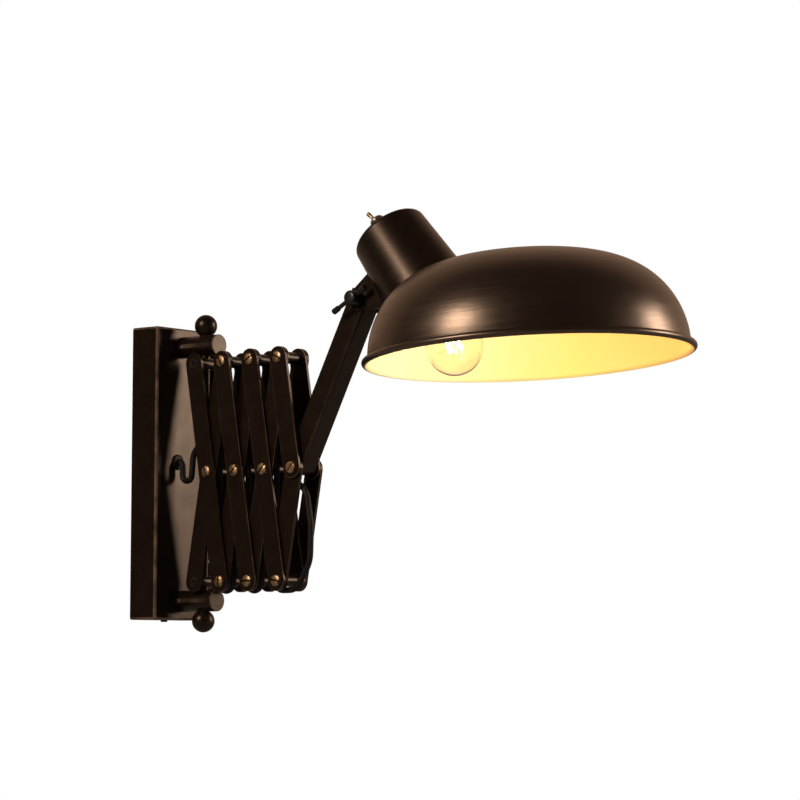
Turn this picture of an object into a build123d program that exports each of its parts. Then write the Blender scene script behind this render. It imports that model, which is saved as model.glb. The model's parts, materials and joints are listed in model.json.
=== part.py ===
"""Accordion wall lamp: a wall box, a swivelling scissor of flat bars, an arm and a spun shade.

Millimetres, +Z up. The wall is the plane Y = 0 and the lamp reaches out of it along -Y.
The origin is the middle of the wall box's back. +X is the side of the lamp that lies
furthest from someone who stands in front of it, to the left.
Most pieces are drawn on SIDE, whose own axes are the distance out from the wall, the
height, and the distance towards the near side (-X).
"""

import os
from math import asin, atan2, cos, degrees, hypot, pi, radians, sin, tan

from build123d import *

os.makedirs("parts", exist_ok=True)

SIDE = Plane(origin=(0, 0, 0), x_dir=(0, -1, 0), z_dir=(-1, 0, 0))

# Wall box, a folded steel tray that is open at the wall
BOX_HEIGHT = 300.0
BOX_WIDTH = 80.0
BOX_DEPTH = 35.0
BOX_SHEET = 1.5
BOX_EDGE = 2.5

# The two round bracket rods, the upright rod between them and its ball ends
BRACKET_HEIGHT = 130.4
BRACKET_DIAMETER = 22.0
BRACKET_END = 84.0
AXIS_OUT = 65.0
UPRIGHT_DIAMETER = 10.0
BALL_RADIUS = 11.6
BALL_HEIGHT = 151.0
BALL_FLAT = 10.4
THREAD = 6.0
STUB_DIAMETER = 12.0
STUB_LENGTH = 13.0
GRUB_OUT = 41.0

# Scissor of flat bars in two planes, with round spacers between the planes
BAR_LENGTH = 226.0
BAR_WIDTH = 21.0
BAR_SHEET = 3.0
BAR_GAP = 0.3
REST_ANGLE = 9.67
BAYS = 3
PLANE_SPACING = 24.0
SPACER_DIAMETER = 12.0
BARREL_DIAMETER = 14.0
FIT = 0.05
HEAD_DIAMETER = 12.0
HEAD_THICKNESS = 2.6
SLOT_WIDTH = 1.6
SLOT_DEPTH = 1.2
SCREW_REACH = 8.0
COLLAR_THREAD = 5.0
COLLAR_REACH = 6.0
COLLAR_HEAD = 9.0

# Square arm tube, from the last pivot up to the head joint
ARM_ANGLE = 27.0
ARM_LENGTH = 182.0
ARM_SIZE = 23.4
ARM_WALL = 1.2
ARM_CORNER = 2.5
ARM_OFFSET = 3.8
ARM_PAST_JOINT = 6.0

# Cup that holds the lampholder and leans on the shade's shoulder
CUP_TOP_OUT, CUP_TOP_UP = 306.8, 225.7
CUP_ANGLE = 51.27
CUP_RADIUS = 38.0
CUP_TAPER = 3.82
CUP_EDGE = 4.5
CUP_SHEET = 1.2
CUP_REACH = 97.0

# Spun shade
SHADE_OUT, SHADE_UP = 476.8, 95.6
SHADE_TILT = 3.9
SHADE_RADIUS = 151.8
SHADE_HEIGHT = 91.6
SHADE_SHEET = 1.0
SHADE_SKIRT = 3.5
SHADE_FULLNESS_UP = 1.867
SHADE_FULLNESS_OUT = 3.37
SHADE_POINTS = 9
BEAD_RADIUS = 3.4
SHADE_MOUTH = 40.5

# Bulb and lampholder, on one axis through these two points of the cup's own frame
BULB_ALONG, BULB_ACROSS = 142.0, -9.4
HOLDER_ALONG, HOLDER_ACROSS = 45.0, -1.6
BULB_RADIUS = 27.8
BULB_NECK = 12.2
BULB_NECK_BACK = 46.0
CAP_RADIUS = 13.2
CAP_LENGTH = 25.0
HOLDER_RADIUS = 19.5
HOLDER_BORE = 13.8
TERMINAL_ACROSS = 10.6

# Head joint
CHEEK = 3.0
CHEEK_ROUND = 11.5
JOINT_GAP = 0.3
HUB_DIAMETER = 14.5
HUB_LENGTH = 14.6
TOMMY_DIAMETER = 4.4
TOMMY_ANGLE = 28.6
TOMMY_LONG, TOMMY_SHORT = 26.5, 19.7
TOMMY_END = 6.0
TOMMY_END_LENGTH = 8.0

# Cord
CORD_DIAMETER = 6.2
CORD_SIDE_ROD = 8.5
CORD_SIDE_ARM = 7.3
CORD_EXIT_UP = 11.6
CORD_ARM_BACK = 10.4
CORD_JOINT_BACK = 8.4
WRAP_RADIUS = 9.4

# Worked out from the sizes above
HALF_PITCH = BAR_LENGTH / 2 * sin(radians(REST_ANGLE))
PIVOT_UP = BAR_LENGTH / 2 * cos(radians(REST_ANGLE))
INNER = PLANE_SPACING / 2
INNER_OUTER = INNER + BAR_SHEET
OUTER = INNER_OUTER + BAR_GAP
SURFACE = OUTER + BAR_SHEET


def out_of_wall(step):
    """Distance of a pivot from the wall, counted in half bar spreads from the rod."""
    return AXIS_OUT + step * HALF_PITCH


END = (out_of_wall(2 * BAYS + 1), 0.0)
ARM_DIRECTION = (sin(radians(ARM_ANGLE)), cos(radians(ARM_ANGLE)))
ARM_BACK = (-ARM_DIRECTION[1], ARM_DIRECTION[0])
JOINT = (END[0] + ARM_LENGTH * ARM_DIRECTION[0], END[1] + ARM_LENGTH * ARM_DIRECTION[1])
CUP_DOWN = (cos(radians(CUP_ANGLE)), -sin(radians(CUP_ANGLE)))
CUP_CROSS = (-CUP_DOWN[1], CUP_DOWN[0])


def beyond(point, direction, distance):
    """The point that lies a distance away in the side view."""
    return (point[0] + direction[0] * distance, point[1] + direction[1] * distance)


def in_cup(along, across):
    """Side-view point from the cup's own frame: along its axis, and across it."""
    on_axis = beyond((CUP_TOP_OUT, CUP_TOP_UP), CUP_DOWN, along)
    return beyond(on_axis, CUP_CROSS, across)


def world(point, near=0.0):
    """World point of a side-view point, moved towards the near side."""
    return Vector(-near, -point[0], point[1])


def side_plane(point, direction, near=0.0):
    """Plane across a side-view direction, whose own x axis runs towards the far side."""
    return Plane(
        origin=world(point, near), x_dir=(1, 0, 0), z_dir=(0, -direction[0], direction[1])
    )


def save(builder, label):
    """Label a finished piece and write its STEP file."""
    builder.part.label = label
    export_step(builder.part, f"parts/{label}.step")


def turned(direction):
    """Angle of a side-view direction above the horizontal."""
    return degrees(atan2(direction[1], direction[0]))


# ---------------------------------------------------------------- wall box and brackets


def wall_box():
    """Folded tray with rounded front edges, open towards the wall."""
    with BuildPart() as box:
        with BuildSketch(Plane.XZ):
            Rectangle(BOX_WIDTH, BOX_HEIGHT)
        extrude(amount=BOX_DEPTH)
        front = box.faces().sort_by(Axis.Y)[0]
        fillet(box.edges().filter_by(Axis.Y) + front.edges(), BOX_EDGE)
        back = box.faces().sort_by(Axis.Y)[-1]
        offset(amount=-BOX_SHEET, openings=back)
        with Locations(Plane.XZ.offset(BOX_DEPTH)):
            with Locations((0, BRACKET_HEIGHT), (0, -BRACKET_HEIGHT)):
                Hole(THREAD / 2 + 2 * FIT, depth=2 * BOX_SHEET)
            with Locations((-CORD_SIDE_ROD, CORD_EXIT_UP)):
                Hole(6.0, depth=2 * BOX_SHEET)
        with Locations(Plane(origin=(0, -10, BOX_HEIGHT / 2), z_dir=(0, 0, 1))):
            Hole(2.1, depth=BOX_HEIGHT)
    save(box, "wall_box")


def wall_strap():
    """Flat strap for the wall, its ends bent out to take the box's two screws."""
    tab = BOX_HEIGHT / 2 - BOX_SHEET - FIT
    with BuildPart() as strap:
        with BuildSketch(SIDE.offset(-12)):
            with BuildLine():
                Polyline(
                    (0, -tab), (16, -tab), (16, 2 - tab), (2, 2 - tab), (2, tab - 2),
                    (16, tab - 2), (16, tab), (0, tab), close=True,
                )
            make_face()
        extrude(amount=24)
        bends = strap.edges().filter_by(Axis.X).group_by(Axis.Y)[-1]
        fillet(bends, 1.8)
        with Locations(Plane.XZ.offset(2)):
            with Locations((0, 60), (0, -60)):
                Hole(2.6, depth=4)
        with Locations(Plane(origin=(0, -10, tab), z_dir=(0, 0, 1))):
            Hole(2.0, depth=BOX_HEIGHT)
    save(strap, "wall_strap")


def box_screws():
    """Two pan head screws that hold the box to the strap, from above and from below."""
    with BuildPart() as screws:
        for side in (1, -1):
            seat = Plane(origin=(0, -10, side * BOX_HEIGHT / 2), z_dir=(0, 0, side))
            with BuildSketch(seat.offset(-7)):
                Circle(1.95)
            extrude(amount=7)
            with BuildSketch(seat):
                Circle(3.6)
            extrude(amount=1.8)
            head = screws.faces().filter_by(Axis.Z).sort_by(Axis.Z)[-1 if side > 0 else 0]
            fillet(head.edges(), 1.0)
            with BuildSketch(seat.offset(1.8)):
                Rectangle(8, 0.9)
            extrude(amount=-0.9, mode=Mode.SUBTRACT)
    save(screws, "box_screws")


def terminal_block():
    """Two-way terminal block on the strap, with its screw holes."""
    with BuildPart() as block:
        with BuildSketch(Plane.XZ.offset(2)):
            with Locations((-4, CORD_EXIT_UP)):
                Rectangle(20, 24)
        extrude(amount=15.5)
        fillet(block.edges().filter_by(Axis.Z), 2)
        with Locations(Plane(origin=(14, -10, CORD_EXIT_UP), z_dir=(1, 0, 0))):
            with GridLocations(1, 12, 1, 2):
                CounterBoreHole(1.5, 2.5, 10, depth=14)
    save(block, "terminal_block")


def bracket_rod(label, height, ball_side):
    """Round rod out of the box, bored for the upright rod, its stub and its grub screw."""
    axis = side_plane((BOX_DEPTH, height), (1, 0))
    with BuildPart() as rod:
        with BuildSketch(axis):
            Circle(BRACKET_DIAMETER / 2)
        extrude(amount=BRACKET_END - BOX_DEPTH)
        fillet(rod.faces().sort_by(Axis.Y)[0].edges(), 0.8)
        with BuildSketch(axis):
            Circle(STUB_DIAMETER / 2 + FIT)
        extrude(amount=STUB_LENGTH + 1, mode=Mode.SUBTRACT)
        with Locations(Plane(origin=(0, -AXIS_OUT, height), z_dir=(0, 0, 1))):
            Hole(UPRIGHT_DIAMETER / 2 + FIT, depth=BRACKET_DIAMETER)
        seat = BALL_HEIGHT - BALL_FLAT
        with BuildSketch(Plane(origin=(0, -AXIS_OUT, ball_side * seat), z_dir=(0, 0, ball_side))):
            Circle(7.0)
        extrude(amount=5, mode=Mode.SUBTRACT)
        with BuildSketch(SIDE.offset(5)):
            with Locations((GRUB_OUT, height)):
                Circle(2.1)
        extrude(amount=10, mode=Mode.SUBTRACT)
    save(rod, label)


def bracket_fixings():
    """Stubs inside the bracket rods, their screws through the box, and the grub screws."""
    with BuildPart() as stubs:
        for height in (BRACKET_HEIGHT, -BRACKET_HEIGHT):
            root = side_plane((BOX_DEPTH, height), (1, 0))
            with BuildSketch(root):
                Circle(STUB_DIAMETER / 2)
                Circle(THREAD / 2, mode=Mode.SUBTRACT)
            extrude(amount=STUB_LENGTH)
            with BuildSketch(SIDE.offset(STUB_DIAMETER / 2 - 0.8)):
                with Locations((GRUB_OUT, height)):
                    Circle(2.3)
            extrude(amount=2, mode=Mode.SUBTRACT)
    save(stubs, "bracket_stubs")
    with BuildPart() as screws:
        for height in (BRACKET_HEIGHT, -BRACKET_HEIGHT):
            inside = side_plane((BOX_DEPTH - BOX_SHEET, height), (1, 0))
            with BuildSketch(inside.offset(-3)):
                RegularPolygon(5.0, 6, major_radius=False)
            extrude(amount=3)
            with BuildSketch(inside):
                Circle(THREAD / 2)
            extrude(amount=STUB_LENGTH - 1)
    save(screws, "bracket_screws")
    with BuildPart() as grubs:
        for height in (BRACKET_HEIGHT, -BRACKET_HEIGHT):
            with BuildSketch(SIDE.offset(STUB_DIAMETER / 2 - 0.8)):
                with Locations((GRUB_OUT, height)):
                    Circle(2.0)
            extrude(amount=5.4)
            with BuildSketch(SIDE.offset(STUB_DIAMETER / 2 - 0.8 + 5.4)):
                with Locations((GRUB_OUT, height)):
                    RegularPolygon(1.0, 6, major_radius=False)
            extrude(amount=-2, mode=Mode.SUBTRACT)
    save(grubs, "grub_screws")


def upright_rod():
    """Rod that the scissor swivels on, with a thread at each end for a ball."""
    seat = BALL_HEIGHT - BALL_FLAT
    foot = Plane(origin=(0, -AXIS_OUT, 0), z_dir=(0, 0, 1))
    with BuildPart() as rod:
        with BuildSketch(foot.offset(-seat)):
            Circle(UPRIGHT_DIAMETER / 2)
        extrude(amount=2 * seat)
        with BuildSketch(foot.offset(-seat - 9)):
            Circle(THREAD / 2)
        extrude(amount=2 * seat + 18)
    save(rod, "upright_rod")


def ball_nuts():
    """Ball nuts with a flat seat and a blind thread, one on each end of the upright rod."""
    with BuildPart() as balls:
        for side in (1, -1):
            with Locations((0, -AXIS_OUT, side * BALL_HEIGHT)):
                Sphere(BALL_RADIUS)
            reach = side * (BALL_HEIGHT - BALL_FLAT)
            seat = Plane(origin=(0, -AXIS_OUT, reach), z_dir=(0, 0, side))
            with BuildSketch(seat):
                Circle(BALL_RADIUS)
            extrude(amount=-BALL_RADIUS, mode=Mode.SUBTRACT)
            with BuildSketch(seat):
                Circle(THREAD / 2 + FIT)
            extrude(amount=10, mode=Mode.SUBTRACT)
    save(balls, "ball_nuts")


# ------------------------------------------------------------------------------ scissor

# Each bar runs from a lower to an upper pivot, counted in half spreads out from the rod.
# Bars that lean towards the wall lie outermost on the near side.
FALLING = {"bar_a": (2, 0), "bar_c": (4, 2), "bar_e": (6, 4), "bar_g": (7, 6)}
RISING = {"bar_b": (0, 2), "bar_d": (2, 4), "bar_f": (4, 6), "bar_h": (6, 7)}


def pivot_height(step, is_top):
    """Height of a pivot: odd steps are the crossings, even ones the upper or lower row."""
    if step % 2:
        return 0.0
    return PIVOT_UP if is_top else -PIVOT_UP


def flat_bar(label, low_step, high_step, near_face):
    """One flat bar with round ends and its pivot holes, on a plane of the scissor."""
    low = (out_of_wall(low_step), pivot_height(low_step, False))
    high = (out_of_wall(high_step), pivot_height(high_step, True))
    length = hypot(high[0] - low[0], high[1] - low[1])
    middle = ((low[0] + high[0]) / 2, (low[1] + high[1]) / 2)
    lean = turned((high[0] - low[0], high[1] - low[1]))
    full = length > 0.6 * BAR_LENGTH
    countersunk = low_step == 0 or high_step == 0
    with BuildPart() as bar:
        with BuildSketch(SIDE.offset(near_face)):
            with Locations(middle):
                SlotCenterToCenter(length, BAR_WIDTH, rotation=lean)
            with Locations(low, high):
                Circle(THREAD / 2 + FIT, mode=Mode.SUBTRACT)
            if full:
                with Locations(middle):
                    Circle(THREAD / 2 + FIT, mode=Mode.SUBTRACT)
        extrude(amount=-BAR_SHEET)
        if countersunk:
            shown = near_face if near_face > 0 else near_face - BAR_SHEET
            inwards = -1 if near_face > 0 else 1
            with BuildSketch(SIDE.offset(shown)):
                with Locations(low if low_step == 0 else high):
                    Circle(COLLAR_HEAD / 2 + 0.1)
            extrude(amount=inwards * 2, taper=45, mode=Mode.SUBTRACT)
    save(bar, label)


def slotted_head(builder, point, near_face, towards, angle):
    """Add a domed head with a screwdriver slot to the current part."""
    seat = Plane(origin=world(point, near_face), x_dir=(0, 1, 0), z_dir=(-towards, 0, 0))
    with Locations(seat):
        Cylinder(
            HEAD_DIAMETER / 2, HEAD_THICKNESS, align=(Align.CENTER, Align.CENTER, Align.MIN)
        )
    faces = builder.faces(Select.LAST).filter_by(Axis.X).sort_by(Axis.X)
    fillet(faces[0 if towards > 0 else -1].edges(), 1.1)
    with Locations(seat.offset(HEAD_THICKNESS)):
        with Locations(Rot(0, 0, angle)):
            Box(
                HEAD_DIAMETER + 1, SLOT_WIDTH, SLOT_DEPTH,
                align=(Align.CENTER, Align.CENTER, Align.MAX), mode=Mode.SUBTRACT,
            )


def pivot_screws(label, points, first_angle):
    """A near and a far slotted screw at each of these pivots."""
    with BuildPart() as screws:
        for index, point in enumerate(points):
            for towards in (1, -1):
                with BuildSketch(SIDE.offset(towards * SURFACE)):
                    with Locations(point):
                        Circle(THREAD / 2)
                extrude(amount=-towards * (SURFACE - INNER + SCREW_REACH))
                angle = first_angle + 67 * index + 31 * towards
                slotted_head(screws, point, towards * SURFACE, towards, angle)
    save(screws, label)


def spacers(label, points):
    """Round spacers between the two planes, threaded at both ends."""
    with BuildPart() as tubes:
        for point in points:
            with BuildSketch(SIDE.offset(INNER)):
                with Locations(point):
                    Circle(SPACER_DIAMETER / 2)
                    Circle(THREAD / 2, mode=Mode.SUBTRACT)
            extrude(amount=-PLANE_SPACING)
    save(tubes, label)


def collar(label, height, near_end, far_end):
    """Cross barrel that turns on the upright rod and carries the first pivot."""
    point = (AXIS_OUT, height)
    with BuildPart() as barrel:
        with BuildSketch(SIDE.offset(near_end)):
            with Locations(point):
                Circle(BARREL_DIAMETER / 2)
        extrude(amount=-(near_end - far_end))
        with Locations(Plane(origin=world(point), z_dir=(0, 0, 1))):
            Hole(UPRIGHT_DIAMETER / 2 + FIT, depth=BARREL_DIAMETER)
        for face, towards in ((near_end, 1), (far_end, -1)):
            with BuildSketch(SIDE.offset(face)):
                with Locations(point):
                    Circle(COLLAR_THREAD / 2)
            extrude(amount=-towards * (COLLAR_REACH + 0.3), mode=Mode.SUBTRACT)
    save(barrel, label)
    with BuildPart() as screws:
        for face, towards in ((near_end, 1), (far_end, -1)):
            top = SIDE.offset(face + towards * BAR_SHEET)
            with BuildSketch(top):
                with Locations(point):
                    Circle(COLLAR_HEAD / 2)
            extrude(amount=-towards * 2, taper=45)
            with BuildSketch(top):
                with Locations(point):
                    Circle(COLLAR_THREAD / 2)
            extrude(amount=-towards * (BAR_SHEET + COLLAR_REACH))
            with BuildSketch(top):
                with Locations(point):
                    RegularPolygon(1.5, 6, major_radius=False)
            extrude(amount=-towards * 1.6, mode=Mode.SUBTRACT)
    save(screws, f"{label}_screws")


def scissor():
    """All bars, spacers and screws."""
    for label, (low_step, high_step) in FALLING.items():
        flat_bar(f"{label}_near", low_step, high_step, SURFACE)
        flat_bar(f"{label}_far", low_step, high_step, -INNER)
    for label, (low_step, high_step) in RISING.items():
        flat_bar(f"{label}_near", low_step, high_step, INNER_OUTER)
        flat_bar(f"{label}_far", low_step, high_step, -OUTER)
    first_angle = 20
    for label, (low_step, high_step) in RISING.items():
        points = [
            (out_of_wall(step), pivot_height(step, step == high_step))
            for step in range(low_step, high_step + 1)
            if 0 < step <= 2 * BAYS
        ]
        spacers(label.replace("bar", "spacers"), points)
        pivot_screws(label.replace("bar", "screws"), points, first_angle)
        first_angle += 50
    collar("upper_collar", PIVOT_UP, OUTER, -INNER)
    collar("lower_collar", -PIVOT_UP, INNER, -OUTER)


# ---------------------------------------------------------------------------------- arm


def arm():
    """Square tube welded on its cross barrel, and the bolt that the barrel turns on."""
    foot = side_plane(beyond(END, ARM_BACK, ARM_OFFSET), ARM_DIRECTION)
    with BuildPart() as tube:
        with BuildSketch(foot):
            RectangleRounded(ARM_SIZE, ARM_SIZE, ARM_CORNER)
            inside = ARM_SIZE - 2 * ARM_WALL
            RectangleRounded(inside, inside, ARM_CORNER - ARM_WALL, mode=Mode.SUBTRACT)
        extrude(amount=ARM_LENGTH + ARM_PAST_JOINT)
        for centre, radius in ((END, BARREL_DIAMETER / 2), (JOINT, THREAD / 2 + FIT)):
            with BuildSketch(SIDE.offset(ARM_SIZE)):
                with Locations(centre):
                    Circle(radius)
            extrude(amount=-2 * ARM_SIZE, mode=Mode.SUBTRACT)
    save(tube, "arm_tube")
    with BuildPart() as barrel:
        with BuildSketch(SIDE.offset(INNER)):
            with Locations(END):
                Circle(BARREL_DIAMETER / 2)
                Circle(THREAD / 2 + FIT, mode=Mode.SUBTRACT)
        extrude(amount=-PLANE_SPACING)
    save(barrel, "arm_barrel")
    with BuildPart() as bolt:
        with BuildSketch(SIDE.offset(SURFACE)):
            with Locations(END):
                Circle(THREAD / 2)
        extrude(amount=-(2 * SURFACE + 1.5))
        slotted_head(bolt, END, SURFACE, 1, 48)
    save(bolt, "end_bolt")
    with BuildPart() as nut:
        with BuildSketch(SIDE.offset(-SURFACE)):
            with Locations(END):
                Circle(HEAD_DIAMETER / 2)
        extrude(amount=-HEAD_THICKNESS)
        fillet(nut.faces().sort_by(Axis.X)[-1].edges(), 1.1)
        with BuildSketch(SIDE.offset(-SURFACE)):
            with Locations(END):
                Circle(THREAD / 2)
        extrude(amount=-1.5, mode=Mode.SUBTRACT)
    save(nut, "end_nut")


# --------------------------------------------------------------------------------- head


def cup_plane(along):
    """Plane across the cup's axis, facing down its mouth."""
    return side_plane(in_cup(along, 0), CUP_DOWN)


def cup_solid(inset, start, end):
    """The cup's conical form, moved inwards by a wall thickness, between two depths."""
    narrow = CUP_RADIUS - inset + start * tan(radians(CUP_TAPER))
    wide = CUP_RADIUS - inset + end * tan(radians(CUP_TAPER))
    return Solid.make_cone(narrow, wide, end - start, cup_plane(start))


def shade_profile(inset):
    """Points of the dome's wall, (radius, height), from the skirt up to the crown."""
    radius = SHADE_RADIUS - inset
    height = SHADE_HEIGHT - inset
    points = []
    for step in range(SHADE_POINTS):
        rise = sin(pi / 2 * step / (SHADE_POINTS - 1))
        spread = (1 - rise**SHADE_FULLNESS_UP) ** (1 / SHADE_FULLNESS_OUT)
        points.append((radius * spread, SHADE_SKIRT + height * rise))
    return points


def shade_wall(inset):
    """Outline of the dome from its rim to the crown, for a revolve about its axis."""
    points = shade_profile(inset)
    Line((points[0][0], 0), points[0])
    Spline(*points, tangents=((0, 1), (-1, 0)))


def shade_revolve_plane():
    """Plane through the shade's axis: own x is the radius, own y the height."""
    up = side_direction(90 + SHADE_TILT)
    across = Vector(1, 0, 0)
    return Plane(origin=world((SHADE_OUT, SHADE_UP)), x_dir=across, z_dir=across.cross(up))


def shade_block():
    """The dome as a filled solid, used to trim what stands on it."""
    plane = shade_revolve_plane()
    with BuildPart() as block:
        with BuildSketch(plane):
            with BuildLine():
                shade_wall(0)
                crown = SHADE_SKIRT + SHADE_HEIGHT
                Polyline((0, crown), (0, 0), (SHADE_RADIUS, 0))
            make_face()
        revolve(axis=Axis(plane.origin, plane.y_dir))
    return block.part


def shade():
    """Spun dome with a rolled bead and a mouth cut where the cup stands."""
    plane = shade_revolve_plane()
    mouth = Solid.make_cylinder(SHADE_MOUTH, 70, cup_plane(60))
    with BuildPart() as dome:
        with BuildSketch(plane):
            with BuildLine():
                shade_wall(0)
                shade_wall(SHADE_SHEET)
                crown = SHADE_SKIRT + SHADE_HEIGHT
                Line((0, crown), (0, crown - SHADE_SHEET))
                Line((SHADE_RADIUS - SHADE_SHEET, 0), (SHADE_RADIUS, 0))
            make_face()
            with Locations((SHADE_RADIUS + BEAD_RADIUS - SHADE_SHEET, 0)):
                Circle(BEAD_RADIUS)
                Circle(BEAD_RADIUS - SHADE_SHEET, mode=Mode.SUBTRACT)
        revolve(axis=Axis(plane.origin, plane.y_dir))
        add(mouth, mode=Mode.SUBTRACT)
    save(dome, "shade")


SWITCH_ACROSS, SWITCH_NEAR = 5.0, 15.0
LEVER_TILT = 13.0
LEVER_PIVOT = 5.6
LEVER_PIN = 6.0


def cup(trim):
    """Tapered cup with a rounded top, cut to stand on the dome."""
    wide = CUP_RADIUS + CUP_REACH * tan(radians(CUP_TAPER))
    plane = Plane(
        origin=world(in_cup(0, 0)),
        x_dir=(1, 0, 0),
        z_dir=Vector(1, 0, 0).cross(Vector(0, -CUP_DOWN[0], CUP_DOWN[1])),
    )
    with BuildPart() as shell:
        with BuildSketch(plane):
            with BuildLine():
                Polyline((0, 0), (CUP_RADIUS, 0), (wide, CUP_REACH), (0, CUP_REACH), close=True)
            make_face()
            corner = vertices().sort_by_distance(plane.from_local_coords((CUP_RADIUS, 0)))[0]
            fillet(corner, CUP_EDGE)
        revolve(axis=Axis(plane.origin, plane.y_dir))
        mouth = shell.faces().filter_by(GeomType.PLANE).sort_by_distance(in_cup_world(CUP_REACH))[0]
        offset(amount=-CUP_SHEET, openings=mouth)
        add(trim, mode=Mode.SUBTRACT)
        with BuildSketch(switch_plane()):
            Circle(6.0 + FIT)
        extrude(amount=5, both=True, mode=Mode.SUBTRACT)
        with BuildSketch(cord_hole_plane()):
            Circle(4.5)
        extrude(amount=30, mode=Mode.SUBTRACT)
        with BuildSketch(rivet_plane()):
            with Locations(*rivet_places()):
                Circle(2.0)
        extrude(amount=30, mode=Mode.SUBTRACT)
    save(shell, "cup")


def in_cup_world(along, across=0.0, near=0.0):
    """World point from the cup's own frame."""
    return world(in_cup(along, across), near)


def switch_plane():
    """Plane on the cup's top, at the switch, facing away from the cup."""
    return Plane(
        origin=in_cup_world(0, SWITCH_ACROSS, SWITCH_NEAR),
        x_dir=(1, 0, 0),
        z_dir=(0, CUP_DOWN[0], -CUP_DOWN[1]),
    )


def cord_hole_plane():
    """Plane at the joint, across the straight run of the cord into the cup."""
    start = beyond(JOINT, CUP_DOWN, -CORD_JOINT_BACK)
    return side_plane(start, CUP_CROSS, CORD_SIDE_ARM)


def rivet_plane():
    """Plane at the joint, facing the cup's wall; own y runs down the cup."""
    return Plane(
        origin=world(JOINT), x_dir=(1, 0, 0), z_dir=(0, -CUP_CROSS[0], CUP_CROSS[1])
    )


def rivet_places():
    """Places of the two rivets between the head bracket and the cup."""
    plane = rivet_plane()
    down = plane.to_local_coords(world(beyond(JOINT, CUP_DOWN, 1.0))).Y
    return [(0, 6.0 * down), (0, 17.0 * down)]


def toggle_switch():
    """Switch body under the cup's top, its bushing, nut, and bat lever on a cross pin."""
    top = switch_plane()
    with BuildPart() as body:
        with BuildSketch(top.offset(-CUP_SHEET)):
            RectangleRounded(20, 13, 1.5)
        extrude(amount=-17)
        with BuildSketch(top.offset(-CUP_SHEET - 17)):
            with GridLocations(9, 1, 2, 1):
                Rectangle(0.8, 4.5)
        extrude(amount=-4)
        with BuildSketch(top.offset(-CUP_SHEET)):
            Circle(6.0)
        extrude(amount=CUP_SHEET + 8.5)
        with BuildSketch(top.offset(8.5)):
            Circle(4.2)
        extrude(amount=-5.0, mode=Mode.SUBTRACT)
    save(body, "switch_body")
    with BuildPart() as nut:
        with BuildSketch(top):
            RegularPolygon(7.6, 6, major_radius=False)
            Circle(6.0 + FIT, mode=Mode.SUBTRACT)
        extrude(amount=2.6)
        with BuildSketch(top.offset(2.6)):
            Circle(7.4)
            Circle(6.0 + FIT, mode=Mode.SUBTRACT)
        extrude(amount=3.4)
        rim = nut.faces().filter_by(GeomType.PLANE).sort_by_distance(top.origin + top.z_dir * 30)[0]
        fillet(rim.edges().sort_by(SortBy.RADIUS)[-1], 1.2)
    save(nut, "switch_nut")
    pivot = top.origin + top.z_dir * LEVER_PIVOT
    upright = Plane(origin=pivot, x_dir=(1, 0, 0), z_dir=top.z_dir.rotate(Axis.X, -LEVER_TILT))
    with BuildPart() as lever:
        with BuildSketch(upright):
            Circle(1.3)
        with BuildSketch(upright.offset(14)):
            Circle(2.1)
        loft()
        with BuildSketch(upright.offset(14)):
            Circle(2.1)
        extrude(amount=2.4)
        tip = lever.faces().sort_by_distance(upright.origin + upright.z_dir * 40)[0]
        fillet(tip.edges(), 1.9)
        with Locations(Plane(origin=pivot, z_dir=(1, 0, 0))):
            Cylinder(1.9, LEVER_PIN)
    save(lever, "switch_lever")


def holder_frame():
    """Plane at the back of the lampholder, facing along the bulb's axis."""
    back = in_cup(HOLDER_ALONG, HOLDER_ACROSS)
    bulb = in_cup(BULB_ALONG, BULB_ACROSS)
    length = hypot(bulb[0] - back[0], bulb[1] - back[1])
    direction = ((bulb[0] - back[0]) / length, (bulb[1] - back[1]) / length)
    return side_plane(back, direction), length


def revolve_plane(frame):
    """Plane through a frame's axis: own x is the radius, own y runs along the axis."""
    return Plane(origin=frame.origin, x_dir=frame.x_dir, z_dir=frame.x_dir.cross(frame.z_dir))


def lampholder():
    """Lampholder, whose nipple is crimped in a bridge inside the cup."""
    frame, reach = holder_frame()
    front = reach - BULB_NECK_BACK
    plane = revolve_plane(frame)
    with BuildPart() as holder:
        with BuildSketch(plane):
            with BuildLine():
                Polyline(
                    (0, 0), (16, 0), (HOLDER_RADIUS - 2.5, 2), (HOLDER_RADIUS - 2.5, 24),
                    (HOLDER_RADIUS, 26), (HOLDER_RADIUS, front - 4), (HOLDER_RADIUS - 1.5, front),
                    (HOLDER_BORE, front), (HOLDER_BORE, front - CAP_LENGTH - 3),
                    (0, front - CAP_LENGTH - 3), close=True,
                )
            make_face()
        revolve(axis=Axis(plane.origin, plane.y_dir))
        with BuildSketch(frame):
            Circle(5.0)
        extrude(amount=-5.6)
    save(holder, "lampholder")
    with BuildPart() as bridge:
        with BuildSketch(frame.offset(-1.6)):
            Rectangle(84, 14)
        extrude(amount=1.6)
        with BuildSketch(frame.offset(-10)):
            with Locations((37.2, 0), (-37.2, 0)):
                Rectangle(4.4, 14)
        extrude(amount=8.4)
        with BuildSketch(frame):
            Circle(5.1)
        extrude(amount=-1.6, mode=Mode.SUBTRACT)
        inside = cup_solid(CUP_SHEET + FIT, 10, CUP_REACH)
        add(inside, mode=Mode.INTERSECT)
    save(bridge, "holder_bridge")


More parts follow.
